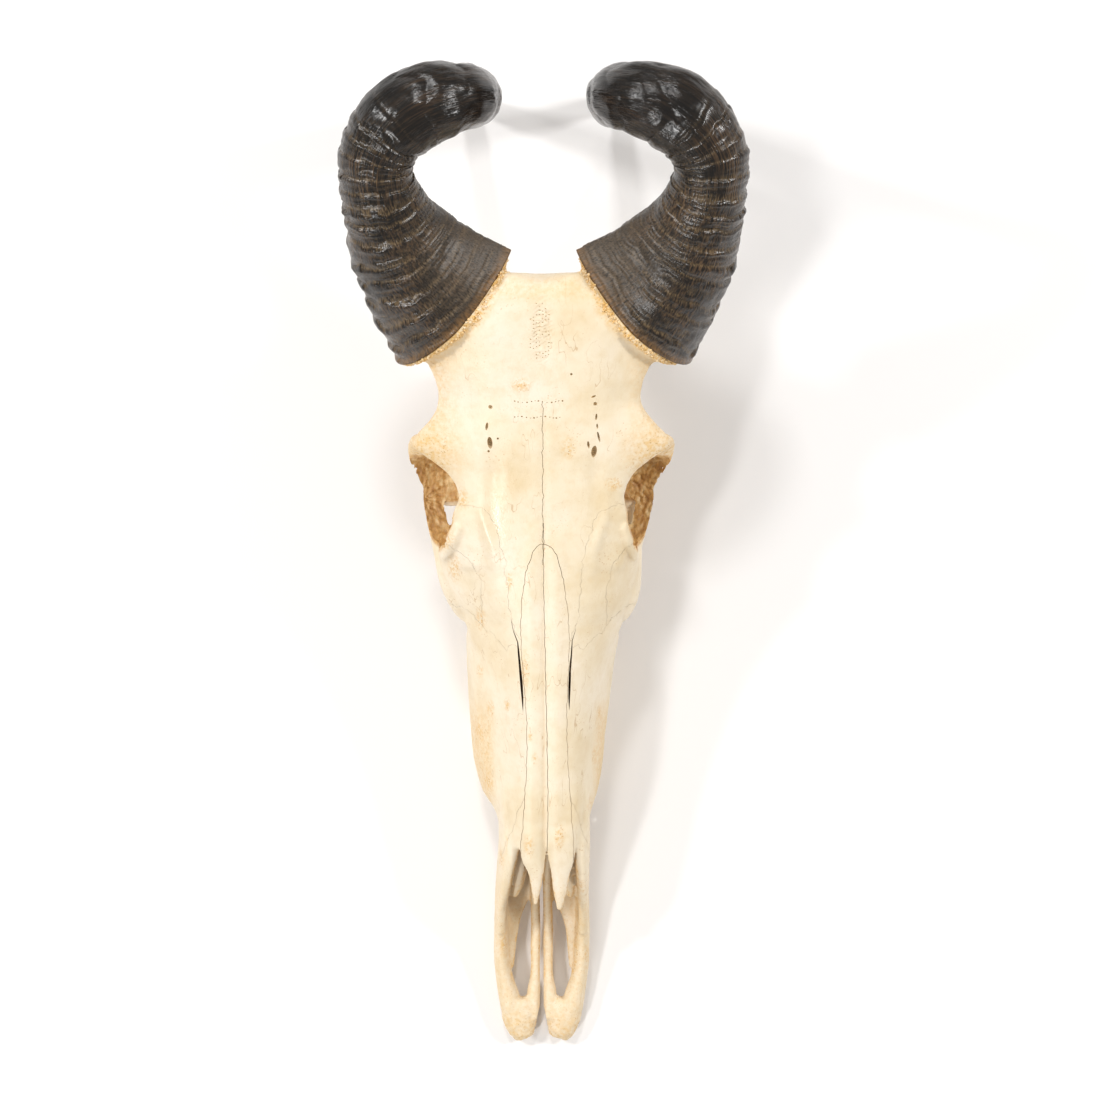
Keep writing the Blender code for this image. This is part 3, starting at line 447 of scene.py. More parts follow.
def colour(code):
    """Linear values of a colour given as sRGB hex; a number stands for a linear grey."""
    if isinstance(code, float):
        return (code, code, code, 1.0)
    parts = [int(code[i : i + 2], 16) / 255 for i in (1, 3, 5)]
    return (*[c / 12.92 if c <= 0.04045 else ((c + 0.055) / 1.055) ** 2.4 for c in parts], 1.0)


def per_metre(size):
    """The scale of a pattern whose marks are this many millimetres apart, on Object coordinates."""
    return 1000.0 / size


def add(tree, kind, inputs=None, **settings):
    """A new node with its settings. Each input takes a value, a socket, or a node, which gives it
    the first of its outputs that is in use."""
    made = tree.nodes.new(kind)
    for name, value in settings.items():
        setattr(made, name, value)
    for key, value in (inputs or {}).items():
        if isinstance(value, bpy.types.Node):
            value = next(output for output in value.outputs if output.enabled)
        if isinstance(value, bpy.types.NodeSocket):
            tree.links.new(value, made.inputs[key])
        else:
            made.inputs[key].default_value = value
    return made


def new_material(name):
    made = bpy.data.materials.new(name)
    made.use_nodes = True
    made.node_tree.nodes.clear()
    return made, made.node_tree


def stops(ramp, *pairs):
    """Set a colour ramp's stops, as (place, hex or grey level) pairs."""
    elements = ramp.color_ramp.elements
    while len(elements) < len(pairs):
        elements.new(0.5)
    for element, (at, value) in zip(elements, pairs):
        element.position = at
        element.color = colour(value)
    return ramp


def dried_bone():
    """Cleaned, air-dried bone: a dull ivory skin with fine pores, hairlines along the grain,
    tan stains where grease stayed in the porous parts, and a slight polish from handling. Painted shade
    darkens creases, pits and undersides, painted bounce light warms the walls inside the nose, and the
    ochre streaks in the eye sockets are partly painted shade."""
    material, tree = new_material("dried_bone")
    here = add(tree, "ShaderNodeTexCoord").outputs["Object"]
    kept = {name: add(tree, "ShaderNodeAttribute", attribute_name=name).outputs["Fac"]
            for name in ("porous", "golden", "socket", "hollow", "polish")}
    # The same places drawn out along the skull, for grain and hairlines, and upward in the sockets.
    along, split, upright = (
        add(tree, "ShaderNodeMapping", {"Vector": here, "Scale": scale})
        for scale in ((1.0, 0.12, 1.0), (1.0, 0.05, 1.0), (1.0, 0.35, 0.35))
    )
    # Each pattern: where it is read, the size of its marks in millimetres, its detail and roughness,
    # and the stops of its ramp, as colours or as shares of the surface.
    patterns = (
        # Patches from the chalky ivory of the face to a warmer cream, and blotches in thin bone.
        ("ivory", here, 45.0, 4.0, 0.55, ((0.30, "#EEE1CC"), (0.52, "#E8D8BB"), (0.72, "#DDC7A0"))),
        ("blotches", here, 6.0, 3.0, 0.55, ((0.48, 0.0), (0.75, 0.26))),
        ("grain", along, 1.6, 3.0, 0.6, ((0.57, 0.0), (0.80, 0.24))),
        # Where the skin has dried and split, where its pores show and where it has worn through.
        ("dried", here, 26.0, 2.0, 0.55, ((0.52, 0.0), (0.62, 0.55))),
        ("open", here, 14.0, 3.0, 0.55, ((0.52, 0.0), (0.70, 0.7))),
        ("cloud", here, 1.9, 3.0, 0.6, ((0.42, 0.0), (0.58, 0.8))),
        # Grease and the dust that it held, streaks in the sockets, and how rough the skin is.
        ("grease", here, 2.6, 4.0, 0.65, ((0.38, 0.25), (0.62, 1.0))),
        ("dust", here, 1.3, 2.0, 0.55, ((0.62, 0.0), (0.70, 0.85))),
        ("streaks", upright, 3.2, 4.0, 0.65, ((0.34, "#A8753A"), (0.50, "#CB9C58"), (0.66, "#E8CC98"))),
        ("rough", here, 22.0, 3.0, 0.55, ((0.35, 0.52), (0.65, 0.40))),
    )
    noises = {}
    shown = {}
    for name, at, size, detail, roughness, marks in patterns:
        noises[name] = add(tree, "ShaderNodeTexNoise", {
            "Vector": at, "Scale": per_metre(size), "Detail": detail, "Roughness": roughness})
        shown[name] = stops(add(tree, "ShaderNodeValToRGB", {"Fac": noises[name]}), *marks)
    # Hairlines along the grain are the middle values of a stretched noise.
    stretched = add(tree, "ShaderNodeTexNoise", {
        "Vector": split, "Scale": per_metre(9.0), "Detail": 2.0, "Roughness": 0.5})
    thread = add(tree, "ShaderNodeMath", {0: stretched, 1: 0.5, 2: 0.004}, operation="COMPARE")
    # Pores of 1.8 mm spacing, in patches, and thick in the spots that have worn through.
    pore = add(tree, "ShaderNodeTexVoronoi", {"Vector": here, "Scale": per_metre(1.8)})
    dots = stops(add(tree, "ShaderNodeValToRGB", {"Fac": pore.outputs["Distance"]}),
                 (0.10, 1.0), (0.26, 0.0))
    bare = add(tree, "ShaderNodeMath", {0: kept["porous"], 1: 1.2}, operation="MULTIPLY")
    pored = add(tree, "ShaderNodeMath", {0: shown["open"], 1: bare}, operation="MAXIMUM")
    thick = add(tree, "ShaderNodeMath", {0: kept["golden"], 1: kept["golden"]}, operation="MULTIPLY")
    share = {}
    for name, where, how_much in (
        ("hairline", thread, shown["dried"]),
        ("pores", dots, pored),
        ("cloud", kept["porous"], shown["cloud"]),
        ("grease", kept["golden"], shown["grease"]),
        ("dust", thick, shown["dust"]),
        ("socket", kept["socket"], 0.92),
        ("hollow", kept["hollow"], 0.6),
    ):
        share[name] = add(tree, "ShaderNodeMath", {0: where, 1: how_much}, operation="MULTIPLY")

    # The colours over the ivory: golden grease in the collar and rims, the same gold as painted shade on
    # undersides and as painted bounce light inside the nose, ochre in the sockets that is partly painted
    # shade, and tan painted shade in creases and pits.
    skin = shown["ivory"]
    for part, over in (
        (shown["blotches"], colour("#D6BB8C")),
        (shown["grain"], colour("#CFB185")),
        (share["hairline"], colour("#BE9A6C")),
        (share["cloud"], colour("#DDB577")),
        (share["pores"], colour("#C2925A")),
        (share["grease"], colour("#DDB063")),
        (share["dust"], colour("#7A5326")),
        # Ochre streaks on the socket walls, partly stain and partly painted shade.
        (share["socket"], shown["streaks"]),
        # Tan in creases, pits and inside the nose: painted shade.
        (share["hollow"], colour("#B58C58")),
    ):
        skin = add(tree, "ShaderNodeMix", {0: part, 6: skin, 7: over}, data_type="RGBA",
                   clamp_factor=True)
    rough = shown["rough"]
    for part, level in ((kept["polish"], 0.17), (kept["golden"], 0.66)):
        rough = add(tree, "ShaderNodeMix", {0: part, 6: rough, 7: colour(level)}, data_type="RGBA",
                    clamp_factor=True)
    # Relief: an unevenness of 0.9 mm, the grain, and the sunken pores and hairlines.
    relief = add(tree, "ShaderNodeTexNoise", {
        "Vector": here, "Scale": per_metre(0.9), "Detail": 3.0, "Roughness": 0.6})
    for mark, height in ((noises["grain"], 0.5), (share["pores"], -0.9), (share["hairline"], -1.2)):
        relief = add(tree, "ShaderNodeMath", {0: mark, 1: height, 2: relief},
                     operation="MULTIPLY_ADD")
    bump = add(tree, "ShaderNodeBump", {"Height": relief, "Strength": 0.35, "Distance": 0.0004})
    shader = add(tree, "ShaderNodeBsdfPrincipled", {
        "Base Color": skin, "Roughness": rough, "Metallic": 0.0, "IOR": 1.5, "Normal": bump})
    add(tree, "ShaderNodeOutputMaterial", {"Surface": shader})
    return material


def molar_enamel():
    """Enamel and dentine of worn molars: hard and shiny, ivory, with brown painted shade in its grooves.
    """
    material, tree = new_material("molar_enamel")
    here = add(tree, "ShaderNodeTexCoord").outputs["Object"]
    upright = add(tree, "ShaderNodeMapping", {"Vector": here, "Scale": (1.0, 1.0, 0.15)})
    streak = add(tree, "ShaderNodeTexNoise", {
        "Vector": upright, "Scale": per_metre(2.2), "Detail": 4.0})
    ivory = stops(add(tree, "ShaderNodeValToRGB", {"Fac": streak}),
                  (0.35, "#F3E6C9"), (0.55, "#E4CC9C"), (0.75, "#B99663"))
    # Brown where the tooth's surface lies in a crease: painted shade.
    groove_shade = add(tree, "ShaderNodeAttribute", attribute_name="hollow").outputs["Fac"]
    skin = add(tree, "ShaderNodeMix", {0: groove_shade, 6: ivory, 7: colour("#5B4127")},
               data_type="RGBA", clamp_factor=True)
    bump = add(tree, "ShaderNodeBump", {"Height": streak, "Strength": 0.3, "Distance": 0.0003})
    shader = add(tree, "ShaderNodeBsdfPrincipled", {
        "Base Color": skin, "Roughness": 0.24, "Metallic": 0.0, "IOR": 1.62, "Normal": bump})
    add(tree, "ShaderNodeOutputMaterial", {"Surface": shader})
    return material


def horn_keratin():
    """Keratin sheath, oiled and buffed: black-brown, with fibres of 1 mm along it that catch the
    light, brown in the hollows between growth ridges and greyer where the surface has dried."""
    material, tree = new_material("horn_keratin")
    growth = add(tree, "ShaderNodeAttribute", attribute_name="growth").outputs["Vector"]
    kept = {name: add(tree, "ShaderNodeAttribute", attribute_name=name).outputs["Fac"]
            for name in ("ledge", "dry", "rim", "ridged")}
    # Streaks along the horn: how wide and how long they are in millimetres, and their detail.
    noises = {}
    for name, across, along, detail in (("fibre", 0.9, 14.0, 3.0), ("fine", 0.5, 7.0, 2.0),
                                        ("patch", 24.0, 30.0, 3.0)):
        drawn = add(tree, "ShaderNodeMapping", {
            "Vector": growth, "Scale": (1 / across, 1 / across, 1 / along)})
        noises[name] = add(tree, "ShaderNodeTexNoise", {
            "Vector": drawn, "Scale": 1.0, "Detail": detail, "Roughness": 0.6})
    # What each streak gives, by the stops of a ramp: colours, or shares of the surface.
    shown = {}
    for name, value, marks in (
        ("black", noises["patch"], ((0.34, "#0B0908"), (0.55, "#130F0C"), (0.72, "#241A13"))),
        ("brown_fibres", noises["fibre"], ((0.46, 0.0), (0.64, 0.9))),
        ("brown_patches", noises["patch"], ((0.42, 0.22), (0.62, 1.0))),
        ("lower_part", kept["ridged"], ((0.0, 0.3), (1.0, 1.0))),
        ("in_ledges", noises["fine"], ((0.40, 0.0), (0.60, 0.7))),
        ("where_dry", noises["fine"], ((0.36, 0.15), (0.60, 0.75))),
        ("at_rim", noises["fibre"], ((0.40, 0.25), (0.60, 0.9))),
        ("dull", noises["fine"], ((0.35, 0.0), (0.7, 1.0))),
    ):
        shown[name] = stops(add(tree, "ShaderNodeValToRGB", {"Fac": value}), *marks)
    brown = add(tree, "ShaderNodeMath", {0: shown["brown_fibres"], 1: shown["brown_patches"]},
                operation="MULTIPLY")
    # The colours over the black: brown fibres, the ledges' hollows, dried keratin and the rim.
    skin = shown["black"]
    for where, how_much, over in (
        (brown, shown["lower_part"], "#5C4732"),
        (kept["ledge"], shown["in_ledges"], "#806A4B"),
        (kept["dry"], shown["where_dry"], "#6A5C4C"),
        (kept["rim"], shown["at_rim"], "#7A5B38"),
    ):
        share = add(tree, "ShaderNodeMath", {0: where, 1: how_much}, operation="MULTIPLY")
        skin = add(tree, "ShaderNodeMix", {0: share, 6: skin, 7: colour(over)}, data_type="RGBA",
                   clamp_factor=True)
    rough = colour(0.16)
    for part, level in ((shown["dull"], 0.28), (kept["dry"], 0.46)):
        rough = add(tree, "ShaderNodeMix", {0: part, 6: rough, 7: colour(level)}, data_type="RGBA",
                    clamp_factor=True)
    height = add(tree, "ShaderNodeMath", {0: noises["fine"], 1: 0.5, 2: noises["fibre"]},
                 operation="MULTIPLY_ADD")
    bump = add(tree, "ShaderNodeBump", {"Height": height, "Strength": 0.55, "Distance": 0.0005})
    shader = add(tree, "ShaderNodeBsdfPrincipled", {
        "Base Color": skin, "Roughness": rough, "Metallic": 0.0, "IOR": 1.48, "Normal": bump})
    add(tree, "ShaderNodeOutputMaterial", {"Surface": shader})
    return material


def studio():
    """A plain white table under a camera that looks straight down, with four soft lights."""
    room = bpy.context.scene.collection
    mesh = bpy.data.meshes.new("table_top")
    corners = [(x * TABLE_REACH, y * TABLE_REACH, -TABLE_DROP)
               for x, y in ((-1, -1), (1, -1), (1, 1), (-1, 1))]
    mesh.from_pydata(corners, [], [(0, 1, 2, 3)])
    table = linked("table_top", mesh, room)
    white, tree = new_material("matt_white_board")
    shader = add(tree, "ShaderNodeBsdfPrincipled", {
        "Base Color": colour("#F0EEED"), "Roughness": 0.9, "Specular IOR Level": 0.1,
        "Emission Color": colour("#FDFDFF"), "Emission Strength": 0.04})
    add(tree, "ShaderNodeOutputMaterial", {"Surface": shader})
    mesh.materials.append(white)

    world = bpy.data.worlds.new("pale_room")
    world.use_nodes = True
    glow = world.node_tree.nodes["Background"]
    glow.inputs["Color"].default_value = colour("#FFFDFA")
    glow.inputs["Strength"].default_value = ROOM_LIGHT
    bpy.context.scene.world = world

    for name, spot, watts, size in SOFTBOXES:
        light = bpy.data.lights.new(name, "AREA")
        light.energy = watts
        light.size = size
        lamp = linked(name, light, room)
        lamp.location = spot
        aim = Vector(LIT_PLACE) - Vector(spot)
        lamp.rotation_euler = aim.to_track_quat("-Z", "Y").to_euler()

    camera = bpy.data.cameras.new("camera")
    camera.sensor_width = SENSOR_WIDTH
    camera.lens = FOCAL_PIXELS / PHOTO_PIXELS * SENSOR_WIDTH
    seat = linked("camera", camera, room)
    seat.location = CAMERA_PLACE
    bpy.context.scene.camera = seat
    bpy.context.scene.view_settings.view_transform = "Standard"


def points_of(obj):
    """The mesh's points as an array, in metres."""
    flat = np.empty(len(obj.data.vertices) * 3, np.float32)
    obj.data.vertices.foreach_get("co", flat)
    return flat.reshape(-1, 3).astype(float)


def normals_of(obj):
    flat = np.empty(len(obj.data.vertices) * 3, np.float32)
    obj.data.vertex_normals.foreach_get("vector", flat)
    return flat.reshape(-1, 3).astype(float)


def skull_places(obj):
    """The mesh's points as x, back and z, in millimetres."""
    points = points_of(obj) / MM
    points[:, 1] += NOSE_TO_FRAME
    return points


def move_points(obj, points):
    obj.data.vertices.foreach_set("co", points.astype(np.float32).ravel())
    obj.data.update()


def store(obj, name, values):
    """Keep one number for each point of the mesh, for the materials and the trees to read."""
    old = obj.data.attributes.get(name)
    if old:
        obj.data.attributes.remove(old)
    kept = obj.data.attributes.new(name, "FLOAT", "POINT")
    kept.data.foreach_set("value", np.asarray(values, np.float32))


def store_vector(obj, name, values):
    kept = obj.data.attributes.new(name, "FLOAT_VECTOR", "POINT")
    kept.data.foreach_set("vector", np.asarray(values, np.float32).ravel())


def grown(obj, tree, name, into):
    """The mesh that a geometry tree makes of an object."""
    modifier = obj.modifiers.new(tree.name, "NODES")
    modifier.node_group = tree
    return baked(obj, name, into)


def new_tree(name, material, **sizes):
    """An empty geometry tree with named inputs; gives it with its input node and a way to end it."""
    tree = bpy.data.node_groups.new(name, "GeometryNodeTree")
    tree.interface.new_socket("Geometry", in_out="INPUT", socket_type="NodeSocketGeometry")
    tree.interface.new_socket("Geometry", in_out="OUTPUT", socket_type="NodeSocketGeometry")
    for key, value in sizes.items():
        kind = "NodeSocketInt" if isinstance(value, int) else "NodeSocketFloat"
        made = tree.interface.new_socket(key.replace("_", " ").capitalize(), in_out="INPUT",
                                         socket_type=kind)
        made.default_value = value
    entry = add(tree, "NodeGroupInput")

    def end(geometry):
        real = add(tree, "GeometryNodeRealizeInstances", {"Geometry": geometry})
        dressed = add(tree, "GeometryNodeSetMaterial", {"Geometry": real, "Material": material})
        add(tree, "NodeGroupOutput", {"Geometry": dressed})

    return tree, entry.outputs, end


def bone_surface(material):
    """Relief of the bone's skin: slow swells, a fine unevenness, rugged rims and collar, and the
    ripples in the middle of the forehead. Heights are in millimetres."""
    tree, size, end = new_tree("bone_surface", material, swell=0.35, fine=0.12, rugged=1.5,
                               ripple=0.5, seed=7)
    here = add(tree, "GeometryNodeInputPosition")
    normal = add(tree, "GeometryNodeInputNormal")
    rugged, ripple, form = (
        add(tree, "GeometryNodeInputNamedAttribute", {"Name": name}, data_type="FLOAT")
        for name in ("rugged", "ripple", "form")
    )

    def uneven(apart, detail):
        """Waves this many millimetres apart, from -1 to 1."""
        waves = add(tree, "ShaderNodeTexNoise", {"Vector": here, "Scale": per_metre(apart),
                    "Detail": detail, "W": size["Seed"]}, noise_dimensions="4D")
        centred = add(tree, "ShaderNodeMath", {0: waves, 1: 0.5}, operation="SUBTRACT")
        return add(tree, "ShaderNodeMath", {0: centred, 1: 2.0}, operation="MULTIPLY")

    rough_rim = add(tree, "ShaderNodeMath", {0: uneven(3.2, 3.0), 1: size["Rugged"]},
                    operation="MULTIPLY")
    heights = [
        add(tree, "ShaderNodeMath", {0: shape, 1: strength}, operation="MULTIPLY")
        for shape, strength in ((uneven(16.0, 2.0), size["Swell"]), (uneven(4.0, 2.0), size["Fine"]),
                                (rough_rim, rugged), (ripple, size["Ripple"]))
    ]
    height = heights[0]
    for more in heights[1:] + [form]:
        height = add(tree, "ShaderNodeMath", {0: height, 1: more}, operation="ADD")
    height = add(tree, "ShaderNodeMath", {0: height, 1: MM}, operation="MULTIPLY")
    offset = add(tree, "ShaderNodeVectorMath", {0: normal, "Scale": height}, operation="SCALE")
    end(add(tree, "GeometryNodeSetPosition", {"Geometry": size["Geometry"], "Offset": offset}))
    return tree


# Waves in a horn's growth, and how far apart they are across it and along it, in millimetres.
GROWTH_WAVES = (
    ("broad", 30.0, 70.0), ("small", 6.0, 24.0), ("years", 300.0, 16.0), ("stretches", 22.0, 9.0),
    ("ring_parts", 12.0, 6.0), ("lumps", 11.0, 13.0), ("swell_parts", 26.0, 26.0), ("fibres", 1.3, 16.0),
)

# How a horn's relief is worked out. Each step has a name, an operation and what it works on: numbers,
# the sizes of the tree, which have a capital, and the latest values of other names.
GROWTH_STEPS = (
    ("far", "MULTIPLY", "Wander", 4.0),
    ("broad", "MULTIPLY", "broad", "far"),
    ("near", "MULTIPLY", "Wander", 1.1),
    ("small", "MULTIPLY", "small", "near"),
    # Some years leave a narrow ledge and some a wide one.
    ("years", "MULTIPLY", "years", 1.1),
    ("drift", "ADD", "broad", "small"),
    ("drift", "ADD", "drift", "years"),
    ("phase", "MULTIPLY", "age", "Ledges"),
    ("phase", "ADD", "phase", "drift"),
    ("phase", "FRACT", "phase"),
    # A ledge rises slowly toward the tip and drops at once toward the base.
    ("step", "POWER", "phase", 1.6),
    ("step", "SUBTRACT", "step", 0.45),
    ("drop", "SUBTRACT", 1.0, "phase"),
    ("drop", "MULTIPLY", "drop", 7.0),
    ("drop", "SMOOTH_MIN", "drop", 1.0, 0.3),
    # Each stretch of a ledge is strong or nearly gone, and the inner side is almost smooth.
    ("strength", "MULTIPLY", "stretches", 1.9),
    ("strength", "ADD", 0.72, "strength"),
    ("strength", "MAXIMUM", "strength", 0.10),
    ("outer", "SUBTRACT", 1.1, "inner"),
    ("strength", "MULTIPLY", "strength", "outer"),
    ("strength", "MULTIPLY", "strength", "ridged"),
    ("height", "MULTIPLY", "step", "drop"),
    ("height", "MULTIPLY", "height", "strength"),
    ("height", "MULTIPLY", "height", "Ledge height"),
    # Fine rings between the ledges, which come and go.
    ("turn", "MULTIPLY", "age", "Rings"),
    ("shift", "MULTIPLY", "drift", 3.0),
    ("turn", "ADD", "turn", "shift"),
    ("turn", "MULTIPLY", "turn", 2 * math.pi),
    ("ring", "SINE", "turn"),
    ("ring_parts", "MULTIPLY", "ring_parts", 1.6),
    ("ring_parts", "ADD", 0.45, "ring_parts"),
    ("ring_parts", "MAXIMUM", "ring_parts", 0.0),
    ("ring", "MULTIPLY", "ring", "ring_parts"),
    ("ring_relief", "MULTIPLY", "ring", "ridged"),
    ("ring_relief", "MULTIPLY", "ring_relief", "Ring height"),
    ("height", "ADD", "height", "ring_relief"),
    ("smooth_part", "SUBTRACT", 1.1, "ridged"),
    ("lumps", "MULTIPLY", "lumps", "smooth_part"),
    ("lumps", "MULTIPLY", "lumps", "Lumps"),
    ("height", "ADD", "height", "lumps"),
    # Broad rounded swells, each with a crease below it, all the way to the tip.
    ("bulge", "MULTIPLY", "age", 4.6),
    ("stray", "MULTIPLY", "broad", 2.2),
    ("bulge", "ADD", "bulge", "stray"),
    ("bulge", "FRACT", "bulge"),
    ("bulge", "POWER", "bulge", 0.75),
    ("bulge", "MULTIPLY", "bulge", math.pi),
    ("swell", "SINE", "bulge"),
    ("swell", "SUBTRACT", "swell", 0.6),
    ("swell_parts", "MULTIPLY", "swell_parts", 1.6),
    ("swell_parts", "ADD", 0.6, "swell_parts"),
    ("swell", "MULTIPLY", "swell", "swell_parts"),
    ("swell", "MULTIPLY", "swell", "Swells"),
    ("height", "ADD", "height", "swell"),
    ("fibres", "MULTIPLY", "fibres", "Fibres"),
    ("height", "ADD", "height", "fibres"),
    # None of it reaches the rim on the bone or the tip on the floor.
    ("height", "MULTIPLY", "height", "free"),
    ("height", "MULTIPLY", "height", MM),
    # The hollows below the ledges and in the fine rings, which are browner.
    ("low_ring", "SUBTRACT", 0.0, "ring"),
    ("low_ring", "MAXIMUM", "low_ring", 0.0),
    ("low_ring", "MULTIPLY", "low_ring", 0.7),
    ("valley", "MULTIPLY", "phase", 4.0),
    ("valley", "SMOOTH_MIN", "valley", 1.0, 0.2),
    ("valley", "SUBTRACT", 1.0, "valley"),
    ("valley", "MAXIMUM", "valley", "low_ring"),
    ("valley", "MULTIPLY", "valley", "ridged"),
)


def horn_growth(material):
    """What a horn's growth leaves on its sheath: ledges parallel to its rim with fine rings between
    them, fading toward the smooth, lumpy upper part. Heights are in millimetres."""
    tree, size, end = new_tree("horn_growth", material, ledges=15.0, ledge_height=2.3, rings=50.0,
                               ring_height=0.36, wander=0.16, swells=1.25, lumps=1.5, fibres=0.10,
                               seed=3)
    growth = add(tree, "GeometryNodeInputNamedAttribute", {"Name": "growth"},
                 data_type="FLOAT_VECTOR")
    found = {key: size[key] for key in ("Ledges", "Ledge height", "Rings", "Ring height", "Wander",
                                        "Swells", "Lumps", "Fibres")}
    for name in ("age", "ridged", "inner", "free"):
        found[name] = add(tree, "GeometryNodeInputNamedAttribute", {"Name": name}, data_type="FLOAT")
    for name, across, along in GROWTH_WAVES:
        scale = (1 / across, 1 / across, 1 / along)
        scaled = add(tree, "ShaderNodeVectorMath", {0: growth, 1: scale}, operation="MULTIPLY")
        waves = add(tree, "ShaderNodeTexNoise", {"Vector": scaled, "Scale": 1.0, "Detail": 2.0,
                    "W": size["Seed"]}, noise_dimensions="4D")
        centred = add(tree, "ShaderNodeMath", {0: waves, 1: 0.5}, operation="SUBTRACT")
        found[name] = add(tree, "ShaderNodeMath", {0: centred, 1: 2.0}, operation="MULTIPLY")
    for name, operation, *values in GROWTH_STEPS:
        inputs = {i: found.get(value, value) for i, value in enumerate(values)}
        found[name] = add(tree, "ShaderNodeMath", inputs, operation=operation)
    normal = add(tree, "GeometryNodeInputNormal")
    offset = add(tree, "ShaderNodeVectorMath", {0: normal, "Scale": found["height"]},
                 operation="SCALE")
    moved = add(tree, "GeometryNodeSetPosition", {"Geometry": size["Geometry"], "Offset": offset})
    end(add(tree, "GeometryNodeStoreNamedAttribute", {"Geometry": moved, "Name": "ledge",
            "Value": found["valley"]}, data_type="FLOAT", domain="POINT"))
    return tree


def coronet_nodules(material):
    """Grains of porous bone crowded along the rim where the horn sits, on the faces given to it."""
    tree, size, end = new_tree("coronet_nodules", material, apart=1.5, grain=1.35, seed=11)
    apart = add(tree, "ShaderNodeMath", {0: size["Apart"], 1: MM}, operation="MULTIPLY")
    spread = add(tree, "GeometryNodeDistributePointsOnFaces", {
        "Mesh": size["Geometry"], "Distance Min": apart, "Density Max": 900000.0,
        "Seed": size["Seed"]}, distribute_method="POISSON")
    # One grain is a lumpy ball, which is turned and scaled by chance at each point.
    ball = add(tree, "GeometryNodeMeshIcoSphere", {"Radius": 0.5, "Subdivisions": 2})
    position = add(tree, "GeometryNodeInputPosition")
    lumpy = add(tree, "ShaderNodeTexNoise", {"Vector": position, "Scale": 2.2, "Detail": 1.0})
    reach = add(tree, "ShaderNodeMath", {0: 0.45, 1: lumpy}, operation="ADD")
    swollen = add(tree, "ShaderNodeVectorMath", {0: position, "Scale": reach}, operation="SCALE")
    grain = add(tree, "GeometryNodeSetPosition", {"Geometry": ball, "Position": swollen})
    low, high = (
        add(tree, "ShaderNodeMath", {0: size["Grain"], 1: share * MM}, operation="MULTIPLY")
        for share in (0.55, 1.55)
    )
    width = add(tree, "FunctionNodeRandomValue", {2: low, 3: high, "Seed": size["Seed"]},
                data_type="FLOAT")
    turn = add(tree, "FunctionNodeRandomValue", {0: (0.0, 0.0, 0.0), 1: (6.28, 6.28, 6.28),
               "Seed": size["Seed"]}, data_type="FLOAT_VECTOR")
    end(add(tree, "GeometryNodeInstanceOnPoints", {
        "Points": spread.outputs["Points"], "Instance": grain, "Rotation": turn, "Scale": width}))
    return tree


def skull_masses(into):
    """The solid masses: muzzle, cheeks, forehead, braincase, occiput and the skull's base."""
    masses = [
        section_loft("muzzle", MUZZLE, 5, into),
        section_loft("cheeks", CHEEK, 4, into),
        section_loft("forehead", FOREHEAD, 4, into),
        ellipsoid("between_sockets", (0, 334, 92), (24, 60, 40), into),
        ellipsoid("braincase", (0, 392, 110), (42, 44, 48), into),
        ellipsoid("pedicle", (0, 420, 145), (52, 32, 28), into, turn=(-16, 0, 0)),
        ellipsoid("occiput", (0, 410, 84), (42, 19, 40), into, turn=(-8, 0, 0)),
        bar("skull_base", ((0, 290, 66, 14, 10), (0, 335, 57, 13, 11), (0, 378, 52, 19, 15),
                           (0, 410, 48, 20, 12)), 1, into),
        bar("nuchal_crest", ((-46, 414, 92, 5, 6), (-38, 428, 116, 5, 6), (-22, 438, 132, 5, 6),
                             (0, 441, 137, 5, 6), (22, 438, 132, 5, 6), (38, 428, 116, 5, 6),
                             (46, 414, 92, 5, 6)), 1, into),
    ]
    for side in (-1, 1):
        masses += [
            horn_core(side, into),
            ellipsoid("condyle", (side * 15, 409, 45), (10, 12, 15), into, turn=(-15, 0, 0)),
            ellipsoid("bulla", (side * 27, 388, 43), (9, 14, 12), into),
            ellipsoid("jaw_joint", (side * 45, 386, 78), (14, 12, 7), into),
            ellipsoid("mastoid", (side * 39, 405, 72), (11, 12, 20), into),
            bar("jugular_process", ((33, 401, 66, 8, 8), (34, 406, 40, 5.5, 8),
                                    (35, 408, 12, 3, 5)), side, into, up=(0, 1, 0)),
            bar("pterygoid", ((14, 262, 44, 3, 13), (15, 292, 48, 3, 17), (14, 322, 50, 3, 15),
                              (16, 350, 54, 3, 9)), side, into),
        ]
    return masses


def hollows(into):
    """What is hollow in the masses: nasal cavity, throat, sockets, fossae, foramen magnum."""
    cutters = [
        section_loft("nasal_cavity", CAVITY, 6, into),
        bar("throat", ((0, 244, 54, 11, 13), (0, 270, 53, 11, 15), (0, 296, 44, 11, 17),
                       (0, 318, 24, 11, 18)), 1, into),
        bar("foramen_magnum", ((0, 440, 66, 13, 13), (0, 420, 66, 12, 12), (0, 396, 72, 11, 11),
                               (0, 382, 80, 5, 5)), 1, into),
    ]
    for side in (-1, 1):
        cutters.append(ellipsoid("temporal_fossa", (side * 60, 374, 106), (19, 27, 25), into))
    return cutters + sockets(into)


def sockets(into):
    """The space of each eye, and the pit in front of it, with splintered walls."""
    x, back, z = SOCKET_CENTRE
    turn_x, turn_y, turn_z = SOCKET_TURN
    pit_x, pit_back, pit_z = PIT_CENTRE
    spaces = []
    for side in (-1, 1):
        turn = (turn_x, side * turn_y, side * turn_z)
        spaces.append(ellipsoid("socket", (side * x, back, z), SOCKET_RADII, into, turn, fine=4))
        spaces.append(ellipsoid("pit", (side * pit_x, pit_back, pit_z), PIT_RADII, into, fine=2))
    for space in spaces:
        splintered(space)
        leaned(space)
    return spaces


